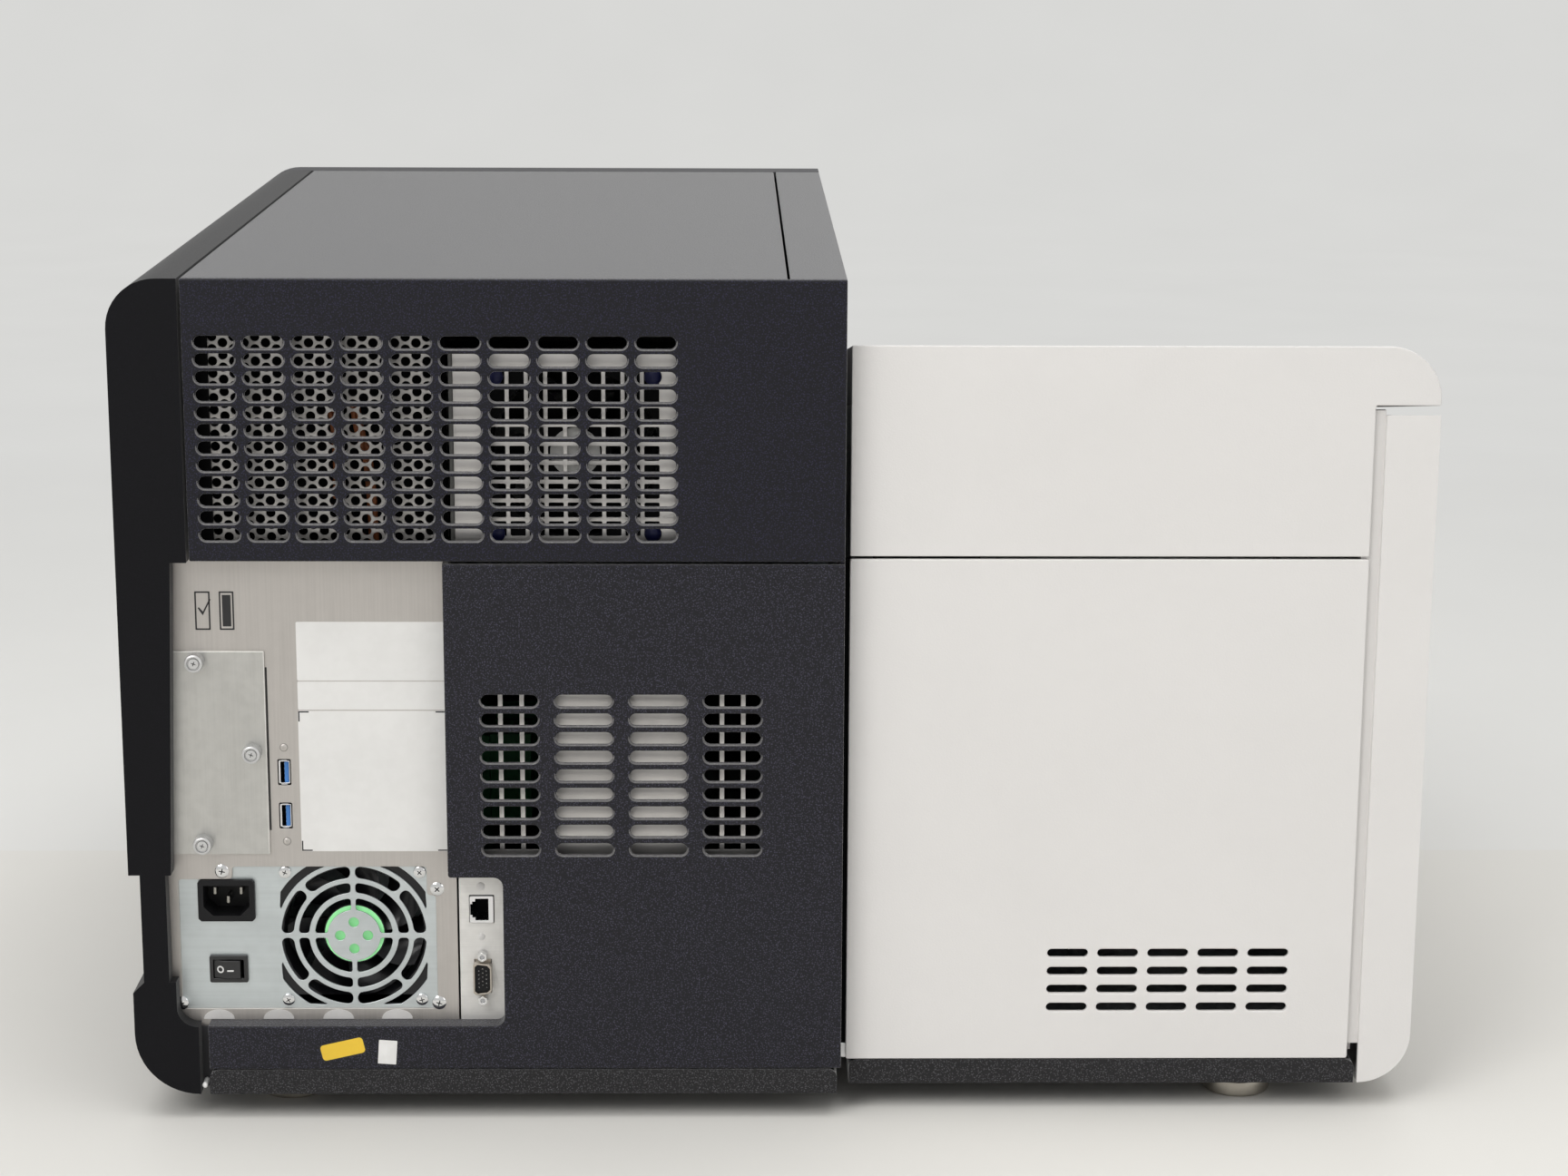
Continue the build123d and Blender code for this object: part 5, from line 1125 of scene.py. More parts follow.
@dataclass
class InputPanel:
    """Satin sheet with its access plate, sockets, plain labels and printed marks.

    Attributes:
        face_y: Rear face of the sheet.
        thumb_screws: Body and centre of each captive thumb screw.
        thumb_r: Radius of a thumb screw.
        rivets: Centre of each rivet.
        usb_centres: Centre of each USB socket.
        labels: Low and high X, low and high Z of each plain label.
        supply_opening: Corners of the opening over the power supply.
        drive_bay: Corners of the opening behind the access plate.
        plate_drop: How far the access plate lies below its node.
        plate_trim: How far its inner edge lies inside that of the node.
    """

    face_y: float = 278.0
    thumb_screws: Tuple[Tuple[str, Point], ...] = (
        ("thumb_screw_upper", (305.2, 250.9)), ("thumb_screw_middle", (276.8, 201.6)),
        ("thumb_screw_lower", (304.1, 151.7)))
    thumb_r: float = 5.0
    rivets: Tuple[Point, ...] = ((260.7, 203.4), (260.4, 151.8))
    usb_centres: Tuple[Point, ...] = ((260.8, 189.8), (260.7, 165.9))
    labels: Tuple[Tuple[float, ...], ...] = (
        (172.0, 252.6, 239.8, 271.5), (172.0, 252.6, 224.0, 239.3), (172.0, 252.8, 146.3, 223.4))
    supply_opening: Tuple[Point, ...] = (
        (182.3, 58.0), (318.9, 58.0), (318.9, 130.7), (290.1, 130.7), (290.1, 137.7), (187.0, 137.7),
        (187.0, 121.7), (182.3, 121.7))
    drive_bay: Tuple[Point, ...] = ((281.5, 156.2), (309.0, 156.2), (309.0, 246.2), (281.5, 246.2))
    plate_drop: float = 2.2
    plate_trim: float = 1.9

    def sheet(self) -> None:
        """Satin sheet with its openings."""
        box = Extent.of("io_panel")
        holes = [rounded(list(self.supply_opening), 2.2), rounded(list(self.drive_bay), 2.0)]
        holes += [round_rect(x - 3.5, x + 3.5, z - 7.2, z + 7.2, 0.9, 3) for x, z in self.usb_centres]
        outline = round_rect(box.x0, box.x1, box.z0, 309.0, 1.0, 2)
        dress(plate("input_panel_sheet", outline, holes, box.y0, self.face_y, 0.2), INPUT_METAL,
              stands_for=["io_panel"])

    def access_plate(self) -> None:
        """Access plate with bright cut edges, lightened further as a painted highlight where they face up,
        and a painted shadow in the dark gap beside it.
        """
        cover = refine("access_plate", 0.45, PLATE_METAL)
        for vertex in cover.data.vertices:
            vertex.co.z -= self.plate_drop * MM
            if vertex.co.x < 0.271:
                vertex.co.x += self.plate_trim * MM
        box = Extent.of("access_plate")
        # Edges facing up or sideways take the lighter edge finish: bare cut metal with a painted highlight.
        rim(cover, PLATE_EDGE_HIGHLIGHT, (box.x0 - 2, box.z0 - 4), (box.x1 + 2, box.z1 + 4))
        # Black bar beside the plate: a painted shadow, not a part.
        gap = slab("access_plate_gap_shadow", (268.35, self.face_y - 0.3, 158.0),
                   (269.35, self.face_y + 0.12, 247.0), 0.05, 1)
        dress(gap, PRINT_AND_SHADE_BLACK)

    def screws(self) -> None:
        """Captive thumb screws: knurled rim, dished face and a cross recess."""
        for name, (x, z) in self.thumb_screws:
            box = Extent.of(name)
            height = box.y1 - 279.5
            base = box.y1 - height
            rings = [(0.86, 0.0), (1.0, 0.35), (1.0, height - 1.1), (0.93, height - 0.3), (0.8, height),
                     (0.71, height - 0.05), (0.66, height - 1.2), (0.6, height - 1.2), (0.53, height - 0.5),
                     (0.3, height - 0.35), (0.1, height - 0.3)]
            head = knurled(f"{name}_knurled", (x, z), base, rings, self.thumb_r)
            shank_top = base - box.y0 + 0.3
            shank = lathe(f"{name}_shank", [(0, 0), (2.2, 0), (2.2, shank_top), (0, shank_top)],
                          (x, box.y0, z), 24)
            dress(joined(f"{name}_turned", [head, shank]), THUMB_STEEL, name, [name])
            # The cross recess is painted shade: a flat black cross on the head.
            recess = cross_recess(f"{name}_recess", (x, z), box.y1 - 0.32, 1.25, 20.0)
            dress(recess, PRINT_AND_SHADE_BLACK, name)

    def usb_socket(self, i: int, x: float, z: float) -> None:
        """One USB socket: folded shell with spring tabs, dark back, blue tongue and contacts.

        Args:
            i: Number of the socket.
            x: Centre in X.
            z: Centre in Z.
        """
        box = Extent.of("usb_sockets")
        x0, x1, half_z, lip = x - 3.35, x + 3.35, 6.75, 0.4
        outline = round_rect(x0 + 0.45, x1 - 0.35, z - half_z + 0.5, z + half_z - 0.5, 0.5, 3)
        mouth = round_rect(x0 + 0.5 + lip, x1 - 1.25, z - half_z + 0.6 + lip, z + half_z - 0.6 - lip, 0.3, 3)
        shell = plate(f"usb_shell_{i}", outline, [mouth], box.y0, box.y1 - 0.9, 0.1)
        springs = [slab(f"usb_spring_{i}", (x0 + 1.7, box.y1 - 3.0, z + e * (half_z - 0.35) - 0.4),
                        (x1 - 1.6, box.y1 - 0.2, z + e * (half_z - 0.35) + 0.4)) for e in (-1, 1)]
        dress(joined(f"usb_body_{i}", [shell, *springs]), CONNECTOR_SHELL,
              stands_for=["usb_sockets"] if i == 0 else [])
        back = slab(f"usb_back_{i}", (x0, box.y0, z - half_z), (x1, box.y0 + 5.0, z + half_z), 0.2)
        dress(back, MATT_BLACK_AND_SHADE)
        tongue = slab(f"usb_tongue_{i}", (x - 2.1, box.y0 + 0.5, z - 6.0), (x + 0.1, box.y1 - 2.2, z + 6.0),
                      0.2)
        dress(tongue, TONGUE_BLUE)
        pins = [slab(f"usb_pin_{i}_{k}", (x + 0.08, box.y1 - 8.5, z - 3.9 + 2.6 * k - 0.5),
                     (x + 0.3, box.y1 - 3.1, z - 3.9 + 2.6 * k + 0.5), 0.05, 1) for k in range(4)]
        dress(joined(f"usb_contacts_{i}", pins), CONTACT)

    def bar(self, x0: float, x1: float, z0: float, z1: float, low: float, high: float) -> Piece:
        """Thin printed bar between two depths from the sheet's face."""
        return slab("mark", (x0, self.face_y + low, z0), (x1, self.face_y + high, z1), 0.02, 1)

    def prints(self) -> None:
        """Plain labels and the generic marks printed on and beside them."""
        y = self.face_y
        for i, (x0, x1, z0, z1) in enumerate(self.labels):
            label = plate(f"blank_label_{i}", round_rect(x0, x1, z0, z1, 0.8, 3), [], y - 0.02, y + 0.16,
                          0.05)
            dress(label, LABEL_WHITE)
        marks = []
        x0, x1, z0, z1 = self.labels[-1]
        long, short = 5.6, 0.7
        for cx, sx in ((x0 + 2.9, 1), (x1 - 0.2, -1)):
            for cz, sz in ((z0 + 0.2, 1), (z1 - 0.2, -1)):
                for wide, tall in ((long, short), (short, long)):
                    marks.append(self.bar(*sorted((cx, cx + wide * sx)), *sorted((cz, cz + tall * sz)), 0.15,
                                          0.2))
        for left, right in ((296.8, 304.8), (284.4, 292.1)):
            inside = round_rect(left + 0.85, right - 0.85, 267.95, 286.95, 0.2, 2)
            frame_loop = round_rect(left, right, 267.1, 287.8, 0.3, 2)
            marks.append(plate("mark", frame_loop, [inside], y - 0.02, y + 0.06, 0.01))
        marks.append(self.bar(286.0, 290.5, 269.0, 285.9, -0.02, 0.06))
        tick = [(303.3, 278.9), (302.6, 279.3), (300.6, 277.0), (297.0, 283.9), (296.4, 283.4),
                (300.7, 274.9)]
        marks.append(plate("mark", tick, [], y - 0.02, y + 0.06, 0.01))
        dress(joined("panel_marks", marks), PRINT_AND_SHADE_BLACK)

    def riveting(self) -> None:
        """Rivets, each with a dull ring pressed round it."""
        dome = [(0, 0), (1.85, 0), (1.8, 0.3), (1.4, 0.55), (0.5, 0.6), (0.4, 0.45), (0, 0.4)]
        domes = [lathe(f"panel_rivet_{i}", dome, (x, self.face_y - 0.05, z), 24)
                 for i, (x, z) in enumerate(self.rivets)]
        dress(joined("panel_rivets", domes), INPUT_METAL)
        rings = [plate(f"rivet_ring_{i}", circle(x, z, 2.25, 28), [circle(x, z, 1.75, 28)], self.face_y - 0.1,
                       self.face_y + 0.1, 0.02) for i, (x, z) in enumerate(self.rivets)]
        dress(joined("rivet_rings", rings), RIVET_METAL)

    def build(self) -> None:
        """Builds the panel with everything on it."""
        self.sheet()
        self.access_plate()
        self.screws()
        for i, (x, z) in enumerate(self.usb_centres):
            self.usb_socket(i, x, z)
        self.prints()
        self.riveting()


# ---- Power supply ----
@dataclass
class PowerSupply:
    """Power supply with its punched grille, fan, inlet, switch and screws.

    Attributes:
        fan: Fan axis in X and Z.
        fan_screw_half: Half the side of the fan's screw square.
        face_screws: Centre of each screw of the face.
        rings: Radii, bars in half a turn and corner radius of each ring of slots.
        crescent: Inner radius of the corner holes, and the radius that their points reach.
        grille_half: Half the side of the punched square.
        bar: Width of the bars.
        hub_holes: Radius of the four middle holes and their distance from the axis.
        wall: Thickness of the case.
        floor: Lowest face of the case.
        pivot: Axis of the rocker in X and Y.
        lean: Turn of the rocker at rest, in degrees.
        pitch: Slope of each half of the rocker's face, in degrees.
        rocker_half: Half the width of the rocker's face.
        crest: Height of the face's middle over the axis.
    """

    fan: Point = (226.5, 98.6)
    fan_screw_half: float = 35.75
    face_screws: Tuple[Point, ...] = ((295.5, 135.2), (181.5, 125.2), (319.5, 61.2), (181.5, 61.2))
    rings: Tuple[Tuple[Point, int, float], ...] = (
        ((14.2, 20.8), 2, 1.5), ((23.9, 29.4), 2, 1.8), ((32.1, 38.7), 4, 2.9))
    crescent: Point = (41.3, 45.6)
    grille_half: float = 39.0
    bar: float = 2.6
    hub_holes: Point = (2.75, 7.4)
    wall: float = 1.2
    floor: float = 55.2
    pivot: Point = (293.6, 273.5)
    lean: float = -8.0
    pitch: float = 10.0
    rocker_half: float = 7.1
    crest: float = 6.45

    def grille(self) -> List[Loop]:
        """Every hole of the punched fan grille."""
        loops: List[Loop] = []
        for radii, bars, corner in self.rings:
            step = 180.0 / bars
            loops += [ring_slot(self.fan, radii, (k * step, (k + 1) * step), self.bar, corner)
                      for k in range(2 * bars)]
        (r, far), h = self.crescent, self.grille_half
        first, flat = math.degrees(math.acos(h / r)) + 2.2, math.degrees(math.acos(h / far)) + 1.2
        inner = arc(0, 0, r, first, 90 - first, 14)
        corner_hole = inner + [(inner[-1][0] + 1.1, h)] + arc(0, 0, far, 90 - flat, flat, 10)
        corner_hole += [(h, inner[0][1] + 1.1)]
        loops += [turned(corner_hole, self.fan, 90 * quarter) for quarter in range(4)]
        radius, reach = self.hub_holes
        for quarter in range(4):
            (hub,) = turned([(reach, 0.0)], self.fan, 90 * quarter)
            loops.append(circle(*hub, radius, 20))
        return loops

    def case(self) -> None:
        """Case: punched face, folded walls and feet."""
        box = Extent.of("psu_case")
        holes, (wall, floor) = self.grille(), (self.wall, self.floor)
        for node, margin in (("power_inlet", 1.5), ("switch_frame", 1.2)):
            part = Extent.of(node)
            holes.append(round_rect(part.x0 + margin, part.x1 - margin, part.z0 + margin, part.z1 - margin,
                                    0.8, 3))
        back = box.y1 - wall
        face = plate("supply_face", round_rect(box.x0, box.x1, floor, box.z1, 1.2, 4), holes, back, box.y1,
                     0.25)
        corners = (((box.x0, box.y0, floor), (box.x0 + wall, back, box.z1)),
                   ((box.x1 - wall, box.y0, floor), (box.x1, back, box.z1)),
                   ((box.x0, box.y0, floor), (box.x1, back, floor + wall)),
                   ((box.x0, box.y0, box.z1 - wall), (box.x1, back, box.z1)),
                   ((box.x0, box.y0, floor), (box.x1, box.y0 + wall, box.z1)))
        walls = [slab("supply_wall", low, high) for low, high in corners]
        feet = [slab("supply_foot", (x, box.y0 + 6, box.z0), (x + 14, back - 6, floor + 0.4), 0.4)
                for x in (box.x0 + 4, box.x1 - 18)]
        dress(joined("supply_case_punched", [face, *walls, *feet]), PSU_STEEL,
              stands_for=["psu_case"])

    def screws(self) -> None:
        """Pan-head screws of the face and of the fan, with cross recesses."""
        base, h = Extent.of("psu_screws").y0, self.fan_screw_half
        places = [(x, z, 4.0, 2.5, 12.0 + 31 * i) for i, (x, z) in enumerate(self.face_screws)]
        places += [(self.fan[0] + sx * h, self.fan[1] + sz * h, 3.4, 1.9, 25.0 + 17 * i)
                   for i, (sx, sz) in enumerate(((1, 1), (-1, 1), (1, -1), (-1, -1)))]
        heads, crosses = [], []
        for i, (x, z, r, rise, turn) in enumerate(places):
            profile = [(0, 0), (r, 0), (r, rise * 0.35), (r * 0.93, rise * 0.68), (r * 0.72, rise * 0.9),
                       (r * 0.4, rise), (0, rise)]
            heads.append(lathe(f"supply_screw_{i}", profile, (x, base, z), 28))
            crosses.append(cross_recess(f"supply_screw_cross_{i}", (x, z), base + rise - 0.02, r * 0.42,
                                        turn))
        dress(joined("supply_screw_heads", heads), SCREW_STEEL, stands_for=["psu_screws"])
        # Black crosses on the screw heads: painted shade of the recesses.
        dress(joined("supply_screw_crosses", crosses), PRINT_AND_SHADE_BLACK)

    def inlet(self) -> None:
        """Appliance inlet with its three blades."""
        refine("power_inlet", 0.35)
        pins = Extent.of("inlet_pins")
        blades = [slab("inlet_blade", (x - 0.8, pins.y0, z - 2.0), (x + 0.8, pins.y1 - 4.5, z + 2.0), 0.4)
                  for x, z in ((pins.x0 + 1.0, pins.z1 - 2.6), (pins.x1 - 1.0, pins.z1 - 2.6),
                               ((pins.x0 + pins.x1) / 2, pins.z0 + 1.6))]
        dress(joined("inlet_blades", blades), PIN_DULL, stands_for=["inlet_pins"])

    def switch(self) -> None:
        """Rocker switch: frame, rocker with two sloping halves, and its on and off marks."""
        box = Extent.of("switch_frame")
        hole = round_rect(box.x0 + 2.2, box.x1 - 2.0, box.z0 + 2.4, box.z1 - 2.4, 0.4, 3)
        bezel = plate("switch_bezel", box.outline(1.0, 5), [hole], 276.5, box.y1, 0.35)
        well_outline = round_rect(box.x0 + 1.2, box.x1 - 1.0, box.z0 + 1.2, box.z1 - 1.2, 0.4, 3)
        well = plate("switch_well", well_outline, [hole], box.y0, 276.6, 0.1)
        dress(joined("switch_frame_moulded", [bezel, well]), ROCKER_BLACK,
              stands_for=["switch_frame"])
        box, half, pitch = Extent.of("switch_rocker"), self.rocker_half, math.radians(self.pitch)
        end = self.crest - half * math.tan(pitch)
        shape = [(-6.3, -4.9), (6.3, -4.9), (half, end), (0.0, self.crest), (-half, end)]
        body = plate("rocker_body", turned(shape, self.pivot, self.lean), [], -box.z1 + 0.15, -box.z0 - 0.15,
                     0.35)
        body.data.transform(Matrix.Rotation(math.radians(-90), 4, "X"))
        dress(body, ROCKER_BLACK, "rocker", ["switch_rocker"])
        bar = slab("mark_bar", (-1.7, -0.05, -0.42), (1.7, 0.1, 0.42), 0.04, 1)
        ring = plate("mark_ring", circle(0, 0, 2.0, 28), [circle(0, 0, 1.2, 28)], -0.05, 0.1, 0.02)
        for mark, x, z, side in ((ring, 3.6, 80.4, 1), (bar, -1.95, 79.9, -1)):
            place = Matrix.Translation((self.pivot[0] * MM, self.pivot[1] * MM, z * MM))
            place = place @ Matrix.Rotation(math.radians(self.lean), 4, "Z")
            place = place @ Matrix.Translation((x * MM, (self.crest - abs(x) * math.tan(pitch)) * MM, 0))
            mark.data.transform(place @ Matrix.Rotation(-side * pitch, 4, "Z"))
        dress(joined("rocker_marks", [bar, ring]), MARK_WHITE, "rocker")

    def build(self) -> None:
        """Builds the power supply."""
        self.case()
        self.screws()
        self.inlet()
        self.switch()
        FanAssembly("psu_fan", self.fan, 16.6, 15.9, HUB_GREEN, FAN_PLASTIC).build()


# ---- Fans ----
@dataclass
class FanAssembly:
    """Axial fan: frame and a rotor with pitched, curved blades and a plain hub label.

    Attributes:
        body: Body of the rotor, which also starts the names of both nodes.
        centre: Axis in X and Z.
        hub_r: Hub radius.
        label_r: Radius of the hub label.
        label: Finish of the hub label.
        plastic: Finish of frame and rotor.
        blades: Number of blades.
        rows: Facets along a blade, from hub to tip.
        columns: Facets across a blade.
        thick: Thickness of a blade.
    """

    body: str
    centre: Point
    hub_r: float
    label_r: float
    label: Finish
    plastic: Finish
    blades: int = 7
    rows: int = 6
    columns: int = 8
    thick: float = 1.3

    def grid(self, bm: bmesh.types.BMesh, index: int, depths: Point, tip_r: float, side: float
             ) -> List[List[bmesh.types.BMVert]]:
        """Points of one face of a blade, in rows from the hub to the tip.

        Args:
            bm: Mesh that takes the points.
            index: Number of the blade.
            depths: Lowest and highest Y of the rotor.
            tip_r: Radius of the tips.
            side: Side of the blade's middle sheet, as a share of its thickness.

        Returns:
            The rows.
        """
        y0, y1 = depths
        rows = []
        for i in range(self.rows + 1):
            u = i / self.rows
            r = self.hub_r - 0.6 + (tip_r - self.hub_r + 0.6) * u
            row = []
            for j in range(self.columns + 1):
                v = j / self.columns
                sweep = math.radians(360 / self.blades * (index + 0.84 * (v - 0.5)) - 16 * u * u)
                slope = (y1 - y0 - 2.4) * (0.5 + (v - 0.5) * (0.92 - 0.2 * u))
                depth = y0 + 1.2 + slope + 1.6 * math.sin(math.pi * v) * u
                taper = 1.0 - 0.75 * abs(2 * v - 1) ** 3
                row.append(bm.verts.new(((self.centre[0] + r * math.cos(sweep)) * MM,
                                         (depth + side * self.thick * taper) * MM,
                                         (self.centre[1] + r * math.sin(sweep)) * MM)))
            rows.append(row)
        return rows

    def blade(self, index: int, depths: Point, tip_r: float) -> Piece:
        """One blade as a thick curved sheet.

        Args:
            index: Number of the blade.
            depths: Lowest and highest Y of the rotor.
            tip_r: Radius of the tips.

        Returns:
            The linked piece.
        """
        bm = bmesh.new()
        low, high = (self.grid(bm, index, depths, tip_r, side) for side in (-0.5, 0.5))
        for grid in (low, high):
            for i in range(self.rows):
                for j in range(self.columns):
                    bm.faces.new([grid[i][j], grid[i + 1][j], grid[i + 1][j + 1], grid[i][j + 1]])
        for i in range(self.rows):
            for j in (0, self.columns):
                bm.faces.new([low[i][j], low[i + 1][j], high[i + 1][j], high[i][j]])
        for j in range(self.columns):
            for i in (0, self.rows):
                bm.faces.new([low[i][j], low[i][j + 1], high[i][j + 1], high[i][j]])
        return from_bm(f"{self.body}_blade_{index}", bm, 60.0)

    def build(self) -> None:
        """Builds the frame and the rotor."""
        refine(f"{self.body}_frame", 0.5, self.plastic)
        rotor = f"{self.body}_rotor"
        box, (x, z), r = Extent.of(rotor), self.centre, self.hub_r
        deep = box.y1 - box.y0
        profile = [(0, 0.4), (r - 1.5, 0.4), (r, 1.6), (r, deep - 0.9), (r - 0.15, deep - 0.6),
                   (r - 0.4, deep - 0.5), (0, deep - 0.5)]
        hub = lathe(f"{self.body}_hub", profile, (x, box.y0, z), 48)
        blades = [self.blade(i, (box.y0, box.y1 - 1.0), (box.x1 - box.x0) / 2) for i in range(self.blades)]
        dress(joined(f"{rotor}_bladed", [hub, *blades]), self.plastic, self.body, [rotor])
        r = self.label_r
        profile = [(0, 0), (r, 0), (r, 0.18), (r - 0.15, 0.26), (0, 0.26)]
        disc = lathe(f"{self.body}_label", profile, (x, box.y1 - 0.52, z), 40)
        dress(disc, self.label, self.body)


@dataclass
class RearVentInside:
    """What shows through the upper slots: fan guard, mounting plate, shield and looms.

    Attributes:
        centre: Fan axis in X and Z.
        guard_pitch: Spacing of the guard's square cells.
        guard_bar: Width of the bars between them.
        cells: Cells along each side.
        plate_top: Upper edge of the mounting plate.
        fasteners: Centre of each fastener of the fan.
        shield_pitch: Spacing of the shield's round holes.
        shield_hole: Diameter of a hole.
        shield_x: Low and high side of the shield.
        shield_phase: Place of one hole of the third row.
        cover_floor: Lower edge of the painted shadow strip and the sheet beside the shield.
    """

    centre: Point = (106.0, 360.8)
    guard_pitch: float = 9.95
    guard_bar: float = 2.15
    cells: int = 9
    plate_top: float = 414.0
    fasteners: Tuple[Point, ...] = ((147.0, 401.0), (65.4, 401.0), (65.8, 318.5), (147.0, 318.5))
    shield_pitch: float = 6.35
    shield_hole: float = 4.95
    shield_x: Point = (175.6, 301.0)
    shield_phase: Point = (208.9, 418.25)
    cover_floor: float = 309.6

    def guard(self) -> None:
        """Light mounting plate with the square grid pressed through it over the fan."""
        box = Extent.of("fan_mount_plate")
        cell, half = (self.guard_pitch - self.guard_bar) / 2, self.cells // 2
        holes = []
        for i in range(-half, half + 1):
            for j in range(-half, half + 1):
                x, z = self.centre[0] + i * self.guard_pitch, self.centre[1] + j * self.guard_pitch
                holes.append(round_rect(x - cell, x + cell, z - cell, z + cell, 0.6, 2))
        outline = round_rect(box.x0, box.x1 - 2.8, box.z0, self.plate_top, 1.0, 2)
        dress(plate("fan_plate_with_grid", outline, holes, box.y0, box.y1, 0.2), ZINC,
              stands_for=["fan_mount_plate", "rear_fan_guard"])
        # The fold is the same zinc sheet, darkened as painted shade.
        fold = slab("fan_plate_fold", (box.x1 - 2.6, box.y0 - 14.0, box.z0),
                    (box.x1 - 0.4, box.y0 - 0.6, self.plate_top))
        dress(fold, FOLD_SHADE_SHEET)

    def shield(self) -> None:
        """Perforated shield with staggered holes, a black strip of painted shadow over its side, and the
        black sheet behind it.
        """
        box, margin = Extent.of("perforated_shield"), 3.0
        row_step, column_step = self.shield_pitch / 2, self.shield_pitch * math.sqrt(3)
        low_x, high_x = self.shield_x
        holes = []
        for j in range(int((box.z1 - box.z0) / row_step)):
            z = self.shield_phase[1] - row_step * (j - 2)
            if not box.z0 + margin + 0.2 < z < box.z1 - margin - 0.2:
                continue
            start = self.shield_phase[0] + 0.5 * column_step * (j % 2)
            x = start + math.ceil((low_x + margin - start) / column_step) * column_step
            while x < high_x - margin:
                holes.append(circle(x, z, self.shield_hole / 2, 16))
                x += column_step
        sheet = plate("perforated_shield_punched", round_rect(low_x, high_x, box.z0, box.z1, 1.0, 2), holes,
                      box.y0, box.y1, 0.08)
        dress(sheet, SHIELD_METAL, stands_for=["perforated_shield"])
        # Black strip over the shield's side: a painted shadow where the cover shades the shield.
        strip = slab("shield_painted_shadow_strip", (293.6, box.y1 + 0.05, self.cover_floor),
                     (303.0, box.y1 + 2.4, box.z1), 0.6)
        dress(strip, MATT_BLACK_AND_SHADE)
        baffle = slab("shield_baffle", (box.x0 + 2.0, 250.0, self.cover_floor),
                      (box.x1 - 1.0, 251.2, box.z1 - 1.0))
        dress(baffle, MATT_BLACK_AND_SHADE)

    def extras(self) -> None:
        """Domed fasteners of the fan, and looms that cross behind the shield."""
        profile = [(0, 0), (4.5, 0), (4.5, 0.6), (4.0, 1.5), (2.9, 2.3), (1.5, 2.75), (0, 2.9)]
        domes = [lathe(f"fan_fastener_{i}", profile, (x, 276.4, z), 28)
                 for i, (x, z) in enumerate(self.fasteners)]
        dress(joined("fan_fasteners", domes), FASTENER_BLUE)
        paths = (((219.5, 262.0, 384.0), (217.5, 264.0, 372.0), (213.0, 265.0, 356.0), (211.5, 265.0, 338.0),
                  (211.0, 262.0, 312.0)),
                 ((231.0, 262.0, 380.0), (229.0, 264.0, 368.0), (228.5, 264.0, 350.0), (229.5, 261.0, 334.0)))
        strands = [tube(f"loom_{k}_{n}", [(x + 2.7 * n, y - 0.8 * n, z) for x, y, z in path], 1.4)
                   for k, path in enumerate(paths) for n in range(2)]
        tie = slab("loom_tie", (209.4, 261.4, 344.0), (216.6, 267.0, 347.0), 0.5)
        # The looms take their amber darkened by painted shade.
        dress(joined("inner_loom", strands), SHADED_LOOM_ORANGE)
        dress(joined("loom_tie_band", [tie]), BLACK_MOULDING)

    def build(self) -> None:
        """Builds everything behind the upper slots."""
        self.guard()
        self.shield()
        self.extras()
        FanAssembly("rear_fan", self.centre, 19.0, 13.0, HUB_GREY, MATT_BLACK_AND_SHADE).build()


